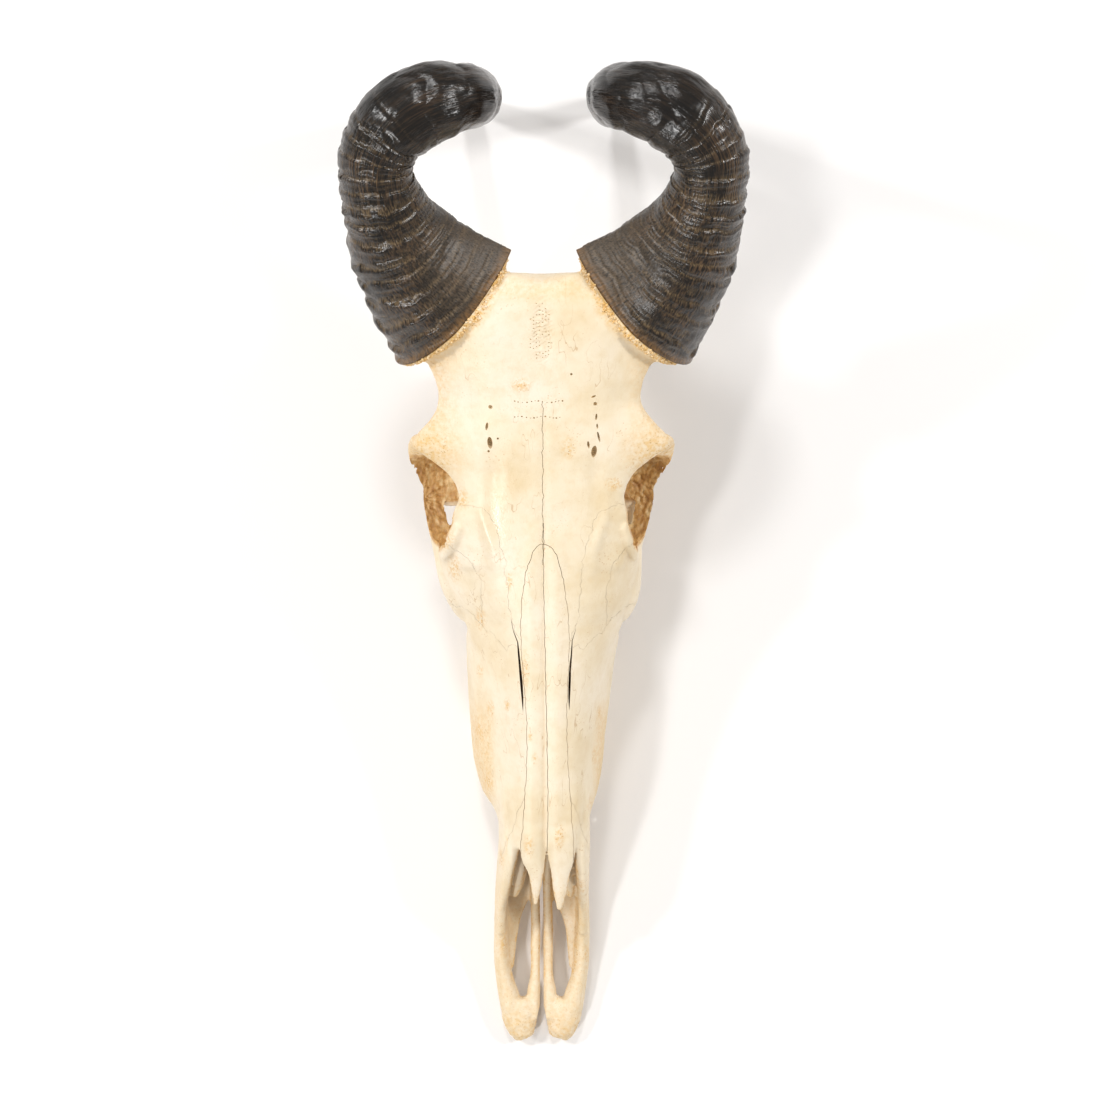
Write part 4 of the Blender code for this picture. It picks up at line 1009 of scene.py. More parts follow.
def splintered(obj):
    """Roughen a cutter, so that the edge it leaves is jagged and its wall is streaked upward."""
    points = points_of(obj)
    rise = np.array([sum(share * noise.noise(Vector([c / s for c, s in zip(p, size)]))
                         for size, share in SPLINTERS) for p in points])
    move_points(obj, points + normals_of(obj) * (rise * SPLINTER_HEIGHT * MM)[:, None])


def fine_bones(into):
    """The bars and plates that join the masses: premaxillae, nasal tips, arches, socket rims."""
    bones = []
    for side in (-1, 1):
        bones += [
            bar("premaxilla_body", ((10.3, 1.5, 5.5, 6, 4.5), (12.0, 7, 6.5, 9.0, 6.5),
                                    (13.3, 14, 8, 10.8, 7), (14.6, 20, 9, 10.8, 6.8),
                                    (16.5, 25, 9.2, 9, 6)), side, into),
            bar("premaxilla_outer", ((19, 20, 9, 6.5, 7), (20.2, 28, 9.5, 6.5, 7.2),
                                     (22.6, 38, 10.5, 5.4, 7.4), (24.4, 50, 12.5, 4.8, 8.4),
                                     (24.9, 66, 16.5, 4.5, 10), (24.8, 84, 22, 4.1, 14),
                                     (24.3, 104, 31, 3.8, 20), (24, 124, 41, 3.4, 24),
                                     (23, 146, 56, 3.2, 16), (22, 165, 68, 2.5, 9)),
                side, into, steps=44),
            bar("premaxilla_rim", ((24.8, 70, 27, 3.0, 4), (24.6, 84, 36.5, 3.0, 5),
                                   (23.6, 96, 46, 3.2, 6), (22.2, 108, 55.5, 3.6, 6),
                                   (20.8, 118, 62.5, 4.0, 5), (19.4, 128, 67, 4.2, 4),
                                   (18.4, 141, 69.5, 3.6, 3)), side, into),
            bar("concha", ((17, 94, 32, 3, 5), (15.5, 106, 39, 5, 9), (15, 126, 46, 6.5, 12),
                           (15, 170, 56, 7, 13), (16, 232, 70, 7, 14)), side, into),
            bar("premaxilla_floor", ((22, 46, 9, 5, 4), (19.5, 74, 10.5, 6, 4),
                                     (15, 92, 12.5, 8.5, 4), (12, 108, 14, 10.5, 4),
                                     (10, 130, 16, 10, 4)), side, into),
            bar("palatine_process", ((4.2, 14, 8, 2.9, 5.5), (5.0, 29, 9, 4.1, 4.8),
                                     (4.0, 42, 10, 3.0, 4.5),
                                     (3.9, 65, 12.5, 3.0, 4.2), (3.8, 92, 16, 2.8, 4.2),
                                     (3.7, 120, 20, 2.7, 4.2)), side, into),
            bar("nasal_tip", NASAL_TIPS[side], side, into),
            bar("socket_front", ((48, 318, 126, 4.5, 4), (52.5, 309, 121, 4, 4.5),
                                 (56, 303.5, 112, 3.5, 5), (58, 301.5, 101, 3.5, 6),
                                 (58.5, 304, 88, 3.5, 7)), side, into, up=(0, 1, 0.3)),
            bar("cheek_arch", ((46.5, 264, 72, 4, 7), (52.5, 273, 78, 4.5, 8), (57.5, 286, 83, 4.5, 8.5),
                               (61, 304, 86, 4.5, 8), (63, 322, 86, 6.3, 7.5),
                               (65, 336, 86, 6.3, 7), (63.5, 354, 86, 4, 7),
                               (56, 368, 85, 3.6, 6.5), (51.5, 382, 84, 4, 6.5),
                               (44, 394, 84, 6, 7)), side, into, steps=44),
            bar("behind_socket", ((61, 365, 136, 6, 13), (65, 364.5, 124, 5.5, 12.5),
                                  (67, 359, 110, 5.5, 12), (65, 350, 97, 5.5, 11.5),
                                  (59, 341, 85, 5.5, 11), (53, 334, 76, 5, 10),
                                  (51, 325 - 8 * side, 72, 4, 8)), side, into, steps=40,
                up=(1, 0, 0)),
        ]
    return bones


def horn_sections(side, grow, stations, count, slim=0.0):
    """Rings round the horn's middle line; slim takes that much off their half width."""
    knots = [(i, np.array((*c, w, d), float)) for i, (c, w, d) in enumerate(HORN_LINE)]
    last = len(knots) - 1
    samples = [(t, smooth_between(knots, t)) for t in stations]
    centres = [Vector(k[:3]) for _, k in samples]
    wide = Vector(HORN_RIM_DIRECTION)
    rings = []
    for i, (t, k) in enumerate(samples):
        ahead = (centres[min(i + 1, len(samples) - 1)] - centres[max(i - 1, 0)]).normalized()
        if t == last:
            ahead = Vector((0, 0, -1))
        wide = (wide - ahead * wide.dot(ahead)).normalized()
        deep = ahead.cross(wide)
        ring = []
        for j in range(count):
            angle = 2 * math.pi * j / count
            near_rim = max(0, 1 - t / 3)
            inward = near_rim * max(0, -math.cos(angle))
            rise = math.copysign(abs(math.sin(angle)) ** (1 + HORN_POINT * inward), math.sin(angle))
            p = centres[i] + wide * ((k[3] + grow - slim) * math.cos(angle))
            p = p + deep * ((k[4] + grow) * rise * (1 - HORN_EGG * inward))
            p = p - ahead * (HORN_SLANT * near_rim * (k[3] + grow) * math.cos(angle))
            ring.append(place(side * p.x, p.y, max(p.z, 0)))
        rings.append(ring)
    return rings


def horn_ahead():
    """The way the horn leaves the bone."""
    return (Vector(HORN_LINE[1][0]) - Vector(HORN_LINE[0][0])).normalized()


def shifted(rings, side, distance):
    """Rings moved along the horn's first direction, in millimetres."""
    way = horn_ahead()
    move = Vector((side * way.x, way.y, way.z)) * (distance * MM)
    return [[Vector(p) + move for p in ring] for ring in rings]


def horn_core(side, into):
    """The stump of bone that carries the horn, from inside the forehead to the horn's base."""
    rings = []
    # How far below the horn's rim each ring lies, and how much thinner it is than the horn.
    for depth, thinner in ((30, 24), (18, 14), (8, 6), (4, 0.5), (1.6, -2.0), (0.7, -2.0), (-6, 3)):
        first = horn_sections(side, -thinner, [0.0, 0.05], RING_POINTS, COLLAR_SLIM)[0]
        rings += shifted([first], side, -depth)
    return loft("horn_core", rings, into)


def horn_clearance(side, into):
    """The horn's own space with a gap round it, to trim the bone below it."""
    rings = horn_sections(side, GAP + 4, [0.0, 0.4, 1.0, 2.0, 3.0], 32)
    return loft("horn_clearance", shifted(rings, side, -GAP), into)


def lean(x, back, z):
    """How far a place lies to the right of where an even skull would have it.

    The nasals lean to the right and the premaxillae to the left, the left cheek is fuller and
    the right side is narrower at the eye.
    """
    along = np.interp(back, (0, 60, 130), (-1.6, -1.6, 0))
    nose = np.interp(back, (70, 100, 150, 220, 280), (0, 1, 1, 0.35, 0)) * (z - 40) / 18
    cheek = np.interp(back, (138, 156, 176, 236, 262), (0, 1, 1.15, 0.85, 0.3))
    cheek = cheek * np.interp(z, (60, 90), (1, 0))
    fuller = FULLER_CHEEK * cheek * np.interp(-x, (0, 30), (0, 1))
    narrower = np.interp(back, *zip(*NARROWER_EYE)) * np.interp(x, (36, 66), (0, 1))
    flatter = np.interp(back, (150, 190, 225, 250), (0, 2.6, 1.5, 0)) * np.interp(x, (20, 38), (0, 1))
    waist = np.interp(back, (366, 386, 406, 425), (0, 2.4, 2.4, 0))
    waist = waist * np.interp(np.abs(x), (25, 50), (0, 1))
    return along + nose - fuller - narrower - flatter - waist


def leaned(obj):
    points = points_of(obj)
    x, back, z = skull_places(obj).T
    points[:, 0] += lean(x, back, z) * MM
    move_points(obj, points)


def wander(at, seed):
    """A seam's stray from its line, as a sum of waves; at is how far along it, in millimetres."""
    waves = ((17.0, 0.5), (7.3, 0.45), (4.1, 0.4))
    return sum(share * math.sin(2 * math.pi * at / length + seed * (2.1 + 3.7 * i))
               for i, (length, share) in enumerate(waves))


def sheet(name, lines, thickness, into, stray=SEAM_WANDER):
    """A thin closed wall between two lines of points that run side by side, to part two bones.
    It strays in and out, as the seam of two grown bones does."""
    a, b = ([Vector(p) for p in line] for line in lines)
    lengths = [0.0]
    for i in range(1, len(a)):
        lengths.append(lengths[-1] + max((a[i] - a[i - 1]).length, (b[i] - b[i - 1]).length))
    rows = max(2, int(lengths[-1] / SEAM_STEP) + 1)
    width = max((q - p).length for p, q in zip(a, b))
    columns = max(2, int(width / SEAM_STEP) + 1)
    grid = np.empty((rows, columns, 3))
    for r, at in enumerate(np.linspace(0, lengths[-1], rows)):
        ends = [np.array([np.interp(at, lengths, [p[k] for p in line]) for k in range(3)])
                for line in (a, b)]
        share = np.linspace(0, 1, columns)[:, None]
        grid[r] = ends[0] * (1 - share) + ends[1] * share
    normal = np.cross(np.gradient(grid, axis=0), np.gradient(grid, axis=1))
    normal /= np.linalg.norm(normal, axis=2, keepdims=True)
    seed = sum(ord(letter) for letter in name) % 17
    down = np.array([wander(at, seed) for at in np.linspace(0, lengths[-1], rows)])
    over = np.array([wander(at, seed + 5) for at in np.linspace(0, width, columns)])
    grid += normal * ((down[:, None] + over[None, :]) * stray)[:, :, None]
    skins = [(grid + normal * (sign * thickness)).reshape(-1, 3) for sign in (-0.5, 0.5)]
    points = [place(*p) for skin in skins for p in skin]
    faces = []
    half = rows * columns
    for r in range(rows - 1):
        for c in range(columns - 1):
            p, q = r * columns + c, (r + 1) * columns + c
            # Both skins split each field along the same diagonal, so a twisted wall keeps its gap.
            faces += [(p, q, q + 1), (p, q + 1, p + 1)]
            faces += [(half + p, half + q + 1, half + q), (half + p, half + p + 1, half + q + 1)]
    border = list(range(columns)) + [r * columns + columns - 1 for r in range(1, rows)]
    border += [(rows - 1) * columns + c for c in range(columns - 2, -1, -1)]
    border += [r * columns for r in range(rows - 2, 0, -1)]
    for i, p in enumerate(border):
        q = border[(i + 1) % len(border)]
        faces.append((p, q, half + q, half + p))
    obj = mesh_object(name, points, faces, into)
    face_out(obj)
    leaned(obj)
    return obj


def nasal_sheets(into):
    """The nasals' outer seams, as one wall round both, and the seam between them."""
    knots = [(b, (w,)) for b, w in NASAL_EDGE]
    outline = [(float(smooth_between(knots, b)[0]), b) for b in range(80, 300, 10)]
    outline += [(7, 302), (4, 305.5), (0, 307)]
    outline += [(-x, b) for x, b in outline[-2::-1]]
    crown = [(row[0], (row[1][1],)) for row in MUZZLE[:-1] + CHEEK[1:-1] + FOREHEAD[2:]]

    def surface(back):
        return float(smooth_between(crown, back)[0])

    top = [(x, b, surface(b) + 6) for x, b in outline]
    low = [(x * 0.62, b - 4, surface(b) - 26) for x, b in outline]
    middle = [(0, b, surface(max(b, 120)) - 26) for b in range(78, 322, 8)]
    middle_top = [(0, b, surface(max(b, 120)) + 8) for b in range(78, 322, 8)]
    return [
        sheet("nasal_seam", (top, low), GAP, into, 0.4),
        sheet("nasal_middle", (middle, middle_top), GAP, into, 0.25),
    ]


def both_sides(half):
    """A line that starts on the middle plane, carried on to the other side."""
    return [(-x, b) for x, b in half[:0:-1]] + half


def snout_sheets(into):
    """The seams round the premaxillae and the maxillae, and the one along the palate."""
    seam = both_sides([(0, 238), (15, 242), (18.5, 245), (22.5, 241), (26.5, 245.2), (33, 250.5),
                       (38, 256), (45, 262), (80, 268)])
    palate = [[(0, b, z) for b in range(104, 304, 8)] for z in (-6, 84)]
    splint = both_sides([(0, 168), (12.5, 167), (19, 152), (23, 141), (27, 130), (44, 118)])
    front = both_sides([(0, 112), (12.5, 112), (19, 109), (23, 106), (27, 102), (44, 94)])
    return [
        sheet("premaxilla_seam", ([(x, b, 100) for x, b in splint],
                                  [(x, b, -4) for x, b in front]), GROWN_GAP, into, 0.5),
        sheet("palate_middle", palate, GAP, into),
        sheet("maxilla_seam", ([(x, b, 130) for x, b in seam],
                               [(x, b + 20, -6) for x, b in seam]), GROWN_GAP, into),
    ]


def cheek_sheets(into):
    """The seams round each cheek bone: to the face, to the brow and along the arch."""
    sheets = []
    outer = ((35, 240, 150), (36, 262, 150), (36, 283, 150), (42.4, 296, 150), (52.5, 303, 150),
             (63.2, 308, 150), (62, 311, 130), (59, 315, 112), (55, 322, 100), (50, 333, 95),
             (46, 346, 95))
    inner = ((36, 240, 20), (37, 262, 20), (37, 281, 20), (38, 292, 20), (38, 298, 20), (38, 303, 20),
             (38, 308, 20), (38, 314, 20), (38, 322, 20), (38, 334, 20), (38, 347, 20))
    for side in (-1, 1):
        face = [[(side * x, b, z) for x, b, z in line] for line in (outer, inner)]
        brow = [[(side * x, b, 113) for x in (40, 92)] for b in (325, 380)]
        arch = [[(side * x, b, z) for x, b in ((26, 380), (80, 363))] for z in (56, 113.5)]
        sheets += [
            sheet("cheek_seam", face, GROWN_GAP, into, 0.6),
            sheet("brow_seam", brow, GROWN_GAP, into),
            sheet("arch_seam", arch, GROWN_GAP, into),
        ]
    return sheets


def brow_sheets(into):
    """The seam behind the lacrimals."""
    brow = both_sides([(0, 248), (15.5, 250), (19, 260), (20.8, 281), (22.3, 293), (24.5, 304),
                       (27.5, 317), (33, 326), (47, 329), (80, 331)])
    return [sheet("lacrimal_seam", [[(x, b, z) for x, b in brow] for z in (160, -6)], GROWN_GAP, into)]


def forehead_sheets(into):
    """The seam between the frontals and the braincase below them, right across the skull."""
    line = [(230, 86), (250, 92), (278, 100), (296, 104), (330, 110), (356, 112), (396, 124), (430, 130),
            (470, 132)]
    sides = [[(x, b, z) for b, z in line] for x in (-90, 90)]
    return [sheet("forehead_seam", sides, GROWN_GAP, into)]


def united(obj, pieces, into):
    """The object with all the pieces joined on by one Boolean."""
    group = collection("roots")
    for piece in pieces:
        into.objects.unlink(piece)
        group.objects.link(piece)
    modifier = obj.modifiers.new("join", "BOOLEAN")
    modifier.operation = "UNION"
    modifier.solver = "MANIFOLD"
    modifier.operand_type = "COLLECTION"
    modifier.collection = group
    made = baked(obj, obj.name, into)
    discard(pieces)
    bpy.data.collections.remove(group)
    return made


def prism(name, outline, low, high, into):
    """An upright solid over an outline of (x, back) points."""
    n = len(outline)
    points = [place(x, back, z) for z in (low, high) for x, back in outline]
    faces = [tuple(range(n)), tuple(range(2 * n - 1, n - 1, -1))]
    faces += [(i, (i + 1) % n, n + (i + 1) % n, n + i) for i in range(n)]
    obj = mesh_object(name, points, faces, into)
    face_out(obj)
    leaned(obj)
    return obj


def trimmings(into):
    """What is cut from the fused bones: the gap between the premaxillae, the floor, the horns."""
    floor = [(-150, -40), (150, -40), (150, 700), (-150, 700)]
    gap = [(-3.2, -6), (3.2, -6), (3.9, 7), (2.7, 15.5), (1.2, 22), (0.7, 30), (0.6, 44), (0.6, 60),
           (0.6, 72), (0.6, 86), (0.6, 100), (0.6, 113)]
    gap += [(-x, b) for x, b in reversed(gap[2:])]
    cracks = []
    for line in FISSURES:
        edges = [[(x + way * half, b) for x, b, half in line] for way in (-1, 1)]
        cracks.append(prism("fissure", edges[1] + edges[0][::-1], 74, 132, into))
    return cracks + [
        prism("floor", floor, -60, 0, into),
        prism("premaxilla_gap", gap, -8, 60, into),
        horn_clearance(-1, into),
        horn_clearance(1, into),
    ]


def cut_by(obj, cutters, into):
    """The object without the space of its cutters, which are removed."""
    for cutter in cutters:
        modifier = obj.modifiers.new("cut", "BOOLEAN")
        modifier.operation = "DIFFERENCE"
        modifier.solver = "MANIFOLD"
        modifier.object = cutter
        obj = baked(obj, obj.name, into)
        discard([cutter])
    return obj


def loose_parts(obj):
    """The separate bodies of a mesh, largest first; crumbs are removed."""
    bpy.ops.object.select_all(action="DESELECT")
    bpy.context.view_layer.objects.active = obj
    obj.select_set(True)
    bpy.ops.mesh.separate(type="LOOSE")
    parts = sorted(bpy.context.selected_objects, key=lambda part: -len(part.data.vertices))
    kept = [part for part in parts if len(part.data.vertices) > CRUMB]
    discard(parts[len(kept):])
    return kept


def middle_of(obj):
    """Where the body's volume is centred: x, back and z in millimetres, and the volume in ml."""
    mesh = obj.data
    mesh.calc_loop_triangles()
    corners = np.empty(len(mesh.loop_triangles) * 3, np.int32)
    mesh.loop_triangles.foreach_get("vertices", corners)
    a, b, c = (skull_places(obj)[corners.reshape(-1, 3)[:, i]] for i in range(3))
    volumes = np.einsum("ij,ij->i", a, np.cross(b, c)) / 6
    centre = ((a + b + c) * (volumes / 4)[:, None]).sum(axis=0) / volumes.sum()
    return (*centre, volumes.sum() / 1000)


def tooth(index, back, side, into):
    """One cheek tooth: ribbed walls, and a chewing face worn to ridges of enamel round two lakes."""
    length, width, outer = TEETH[index]
    lobes = 2 if index >= PREMOLARS else 1
    waist = MOLAR_WAIST if lobes == 2 else 0

    def outline(z, spread, inner=1.0):
        ring = []
        for j in range(TOOTH_POINTS):
            angle = 2 * math.pi * j / TOOTH_POINTS
            c, s = math.cos(angle), math.sin(angle)
            across = math.copysign(abs(s) ** 0.7, s) * (1 - waist * abs(s) ** 8) * width / 2
            along = math.copysign(abs(c) ** 0.5, c) * 1.02 * length / 2
            rib = 1 - 0.05 * (1 - math.cos(3 * lobes * angle)) * min(1, z / 4)
            across, along = across * spread * inner * rib, along * spread * inner * rib
            lift = worn(along, across) if inner < 1 else 0.0
            ring.append(place(side * (outer - width / 2 + across), back + length / 2 + along, z + lift))
        return ring

    def worn(along, across):
        """Depth of the chewing face: dentine worn below the enamel, and a deep lake in each lobe."""
        middles = [way * length / 4 for way in ((-1, 1) if lobes == 2 else (0,))]
        nearest_lake = min(math.hypot((along - middle) / (length / lobes * 0.26), across / (width * 0.24))
                           for middle in middles)
        if nearest_lake < 0.8:
            return 2.2
        return 0.0 if nearest_lake < 1.15 else 0.7

    inners = (0.06, 0.18, 0.3, 0.4, 0.5, 0.6, 0.7, 0.8, 0.88, 0.95)
    rings = [outline(0, 0.90, inner) for inner in inners]
    rings += [outline(z, spread) for z, spread in
              ((0, 0.90), (1, 0.93), (3, 0.97), (6, 1.0), (12, 1.0), (TOOTH_ROOT, 1.0))]
    obj = loft("tooth", rings, into)
    leaned(obj)
    return obj


def tooth_row(side, into):
    teeth, back = [], TOOTH_ROW_FRONT
    for index, (length, _, _) in enumerate(TEETH):
        teeth.append(tooth(index, back, side, into))
        back += length
    return teeth


def coronet(side):
    """The horn's first ring, as points in millimetres: x, back and z."""
    ring = np.array(horn_sections(side, 0, [0.0, 0.05], 96)[0]) / MM
    return ring + (0, NOSE_TO_FRAME, 0)


def from_line(places, line):
    """How far each place lies from the nearest of a line's points."""
    nearest = np.full(len(places), 1e9)
    for point in line:
        nearest = np.minimum(nearest, np.linalg.norm(places - point, axis=1))
    return nearest


def falls(values, full, none):
    """1 up to full, 0 from none on, and even between them."""
    return np.clip((none - values) / (none - full), 0, 1)


def from_socket(places, side):
    """Distance from the wall of an eye socket, negative inside it, in millimetres."""
    x, back, z = SOCKET_CENTRE
    turn_x, turn_y, turn_z = SOCKET_TURN
    centre = np.array((side * x, back, z), float)
    centre[0] += lean(*centre)
    local = (places - centre) @ np.array(turned((turn_x, side * turn_y, side * turn_z)))
    return (np.linalg.norm(local / np.array(SOCKET_RADII), axis=1) - 1) * min(SOCKET_RADII)


def mark_surface(whole):
    """Keep where the bone is rugged and where it ripples, for its relief."""
    places = skull_places(whole)
    x, back, z = places.T
    rugged = np.zeros(len(places))
    for side in (-1, 1):
        rugged = np.maximum(rugged, falls(from_line(places, coronet(side)), 3.0, 8.0))
        rim = falls(np.abs(from_socket(places, side)), 1.5, 4.0) * (z > 95) * 0.35
        rugged = np.maximum(rugged, rim)
    gum = falls(np.abs(z - 16), 3.0, 7.0) * (back > 140) * (back < 262) * (np.abs(x) > 24) * 0.6
    lips = falls(back, 9.0, 30.0) * 0.8
    store(whole, "rugged", np.maximum(np.maximum(rugged, gum), lips))
    from_centre = np.hypot((x + 0.8) / 6.5, (back - 424) / 20)
    patch = np.flatnonzero((from_centre < 1.2) & (z > 140))
    ripple = np.zeros(len(places))
    for i in patch:
        drift = noise.noise(Vector((x[i] / 6, back[i] / 6, 3.0)))
        share = noise.noise(Vector((x[i] / 4, back[i] / 7, 9.0)))
        across = abs(x[i] + 2.2 + 1.6 * drift)
        wave = math.sin((back[i] + 0.11 * across**2 + 2.6 * drift) * 2 * math.pi / 2.1)
        ripple[i] = (wave * (0.75 + 0.9 * share) - 0.7) * falls(from_centre[i], 0.5, 1.1)
    store(whole, "ripple", ripple)
    store(whole, "form", forms(x, back) * falls(-normals_of(whole)[:, 2], -0.5, 0.0))


def bell(values, middle, width):
    return np.exp(-(((values - middle) / width) ** 2))


def forms(x, back):
    """Low forms of the upper side, in millimetres: the round backs of the nasals and the furrow
    between them, the brow's furrow below each large hole, the crest beside the lacrimals."""
    side = np.abs(x)
    nasals = falls(back, 296, 318) * falls(-back, -128, -100)
    height = nasals * (0.9 * bell(side, 7.5, 4.0) - 1.0 * bell(x, 0, 1.7))
    height -= 0.5 * bell(x, 0, 2.5) * falls(-back, -312, -290) * falls(back, 372, 392)
    height -= 1.3 * bell(side, 29, 5) * bell(back, 345, 15)
    height -= 0.9 * bell(side, 44, 9) * bell(back, 385, 18)
    crest = np.interp(back, (285, 304, 326), (27, 29.5, 36))
    height += 1.3 * bell(side, crest, 3.2) * bell(back, 312, 16)
    height -= 0.8 * bell(side, crest + 8, 5) * bell(back, 292, 18)
    return height


def fused_skull(surface, tools):
    """All the bone in one skin: masses hollowed, thin bones joined on, relief, sockets opened."""
    masses = fused("masses", skull_masses(tools), MASS_VOXEL, 4, tools)
    masses = cut_by(masses, hollows(tools), tools)
    whole = fused("skull", [masses] + fine_bones(tools), BONE_VOXEL, 3, tools)
    leaned(whole)
    mark_surface(whole)
    whole = grown(whole, surface, "skull", tools)
    whole = cut_by(whole, sockets(tools) + trimmings(tools), tools)
    return cut_by(whole, [joined("holes", holes(whole, tools), tools)] + grooves(whole, tools), tools)


def skin_over(obj):
    """A function that gives the height of the bone's top at x and back, in millimetres."""
    graph = bpy.context.evaluated_depsgraph_get()
    tree = BVHTree.FromObject(obj, graph)

    def height(x, back):
        hit, *_ = tree.ray_cast(Vector(place(x, back, 400)), Vector((0, 0, -1)))
        return hit.z / MM if hit else 0.0

    return height


def holes(whole, into):
    """The foramina of the forehead, its small pits and two rows of pinholes."""
    height = skin_over(whole)
    cutters = []
    for x, back, wide, long, deep, turn in HOLES:
        top = height(x, back)
        cutters.append(ellipsoid("hole", (x, back, top), (wide, long, deep), into, (8, 0, turn)))
    for back, first, last, count in PINHOLES:
        for i, x in enumerate(np.linspace(first, last, count)):
            stray = 0.5 * math.sin(7.3 * i + back)
            size = 0.32 + 0.12 * math.sin(4.1 * i + back)
            where = (x + 0.4 * math.sin(5.1 * i), back + stray)
            cutters.append(ellipsoid("pinhole", (*where, height(*where)), (size * 1.3, size, 1.2), into,
                                     fine=PIT_FINENESS))
    for back in np.arange(407.5, 441, 2.1):
        for x in np.arange(-7.5, 4.5, 1.7):
            chance = noise.noise(Vector((x * 1.7, back * 0.9, 5.0)))
            if chance > 0.02 and math.hypot((x + 2) / 6.5, (back - 424) / 18) < 1:
                where = (x + 0.7 * chance, back - 0.11 * (x + 2.2) ** 2 + chance)
                size = 0.22 + 0.35 * chance
                cutters.append(ellipsoid("pit", (*where, height(*where)), (size * 1.5, size, 0.7), into,
                                         fine=PIT_FINENESS))
    return cutters


def grooves(whole, into):
    """The seam in the middle of the forehead, which has grown together below its open edge."""
    height = skin_over(whole)
    line = [(-0.6, back) for back in range(294, 388, 4)]
    top = [(x, back, height(x, back) + 3) for x, back in line]
    low = [(x, back, height(x, back) - 2.2) for x, back in line]
    return [sheet("forehead_middle", (top, low), GROOVE, into, 0.5)]


# What each seam frees from the rest, by the place of its middle: x, back and z.
FREED = (
    (nasal_sheets, (("nasal", (6.5, 191, 92)),)),
    (snout_sheets, (("premaxilla", (18, 76, 22)), ("maxilla", (26, 208, 46)))),
    (cheek_sheets, (("zygomatic", (55, 305, 84)),)),
    (brow_sheets, (("lacrimal", (30, 277, 82)),)),
)


def largest(obj):
    """The object's biggest body; crumbs that a cut or a union left are removed."""
    body, *crumbs = loose_parts(obj)
    discard(crumbs)
    return body


def nearest(bodies, place_of_middle):
    def distance(body):
        x, back, z, volume = middle_of(body)
        return math.dist((x, back, z), place_of_middle) if volume > 1 else math.inf

    return min(bodies, key=distance)


def bones(whole, tools):
    """The skull's bones by name, parted along their seams."""
    named = {}
    for sheets, wanted in FREED:
        bodies = loose_parts(cut_by(whole, sheets(tools), tools))
        for name, (x, back, z) in wanted:
            for side, word in SIDES:
                bone = nearest(bodies, (side * x, back, z))
                bodies.remove(bone)
                named[f"{name}_{word}"] = bone
        whole = bodies.pop(0)
        discard(bodies)
    upper, lower, *scraps = loose_parts(cut_by(whole, forehead_sheets(tools), tools))
    discard(scraps)
    if middle_of(upper)[2] < middle_of(lower)[2]:
        upper, lower = lower, upper
    named["frontals"] = upper
    named["braincase"] = lower
    return named


def hollowness(obj, rounds):
    """How far each point lies below the mean of those round it, in millimetres, after smoothing."""
    mesh = obj.data
    edges = np.empty(len(mesh.edges) * 2, np.int32)
    mesh.edges.foreach_get("vertices", edges)
    a, b = edges.reshape(-1, 2).T
    count = np.bincount(np.concatenate([a, b]), minlength=len(mesh.vertices))[:, None]
    start = points_of(obj)
    points = start.copy()
    for _ in range(rounds):
        total = np.zeros_like(points)
        np.add.at(total, a, points[b])
        np.add.at(total, b, points[a])
        points = 0.5 * points + 0.5 * total / np.maximum(count, 1)
    return np.einsum("ij,ij->i", points - start, normals_of(obj)) / MM


def stain(bone):
    """Keep for each point of a bone its golden grease stain, with painted shade and bounce light in the
    same gold, its painted shade in creases and pits, its polish, and its socket brown, which is partly
    painted shade.
    """
    places = skull_places(bone)
    x, back, z = places.T
    up = normals_of(bone)[:, 2]
    collar = np.zeros(len(places))
    socket = np.zeros(len(places))
    for side in (-1, 1):
        collar = np.maximum(collar, falls(from_line(places, coronet(side)), 4.0, 9.5))
        # The socket walls get ochre streaks: partly a stain, partly painted shade of the deep wall.
        near = falls(np.abs(from_socket(places, side)), 1.2, 2.6) * (np.sign(x) == side)
        socket = np.maximum(socket, near)
    brow = falls(np.hypot((np.abs(x) - 66) / 16, (back - 357) / 15), 0.5, 1.7) * 0.75
    temple = falls(-np.abs(x), -62, -44) * falls(np.abs(back - 388), 22, 40) * (z > 110) * 0.6
    crown = falls(np.abs(back - 447), 4.0, 10.0) * 0.35
    gum = falls(np.abs(z - 18), 3.0, 9.0) * (back > 140) * (back < 262) * (np.abs(x) > 22) * 0.6
    lips = np.maximum(falls(back, 12.0, 30.0) * 0.6, falls(back, 84.0, 112.0) * 0.35)
    sockets_of_teeth = falls(-np.abs(x), -33, -28) * falls(np.abs(back - 176), 24, 40) * 0.55
    # Faces that look down are tinted gold and darker: painted shade.
    under = falls(up, -0.6, 0.1) * 0.3
    golden = np.max([collar, brow, temple, crown, gum, lips, under, sockets_of_teeth], axis=0)
    # The walls inside the nose are tinted gold too: painted warm bounce light.
    throat = falls(np.abs(x), 20, 24) * (z < 69) * falls(np.abs(back - 92), 50, 62) * (up < 0.6)
    store(bone, "golden", np.maximum(golden, throat * 0.75))
    porous = np.zeros(len(places))
    for spot_x, spot_back, wide, long in POROUS:
        reach = np.hypot((x - spot_x) / wide, (back - spot_back) / long)
        porous = np.maximum(porous, falls(reach, 0.3, 1.3) * (up > 0.1))
    store(bone, "porous", porous)
    # Points in creases and pits, and the walls inside the nose that do not face up, are darkened: painted
    # shade.
    inside = (np.abs(x) < 24) & (up < 0.3) & (z < 110) & (back > 60)
    shade_depth = np.clip(hollowness(bone, 3) * 2.2, 0, 1) * 0.8 + inside * 0.25
    store(bone, "hollow", np.clip(shade_depth, 0, 1))
    store(bone, "socket", socket)
    glossy = np.exp(-(((x + 28) / 9) ** 2 + ((back - 318) / 26) ** 2))
    glossy += np.exp(-(((x - 32) / 8) ** 2 + ((back - 318) / 24) ** 2))
    store(bone, "polish", np.clip(glossy, 0, 1))


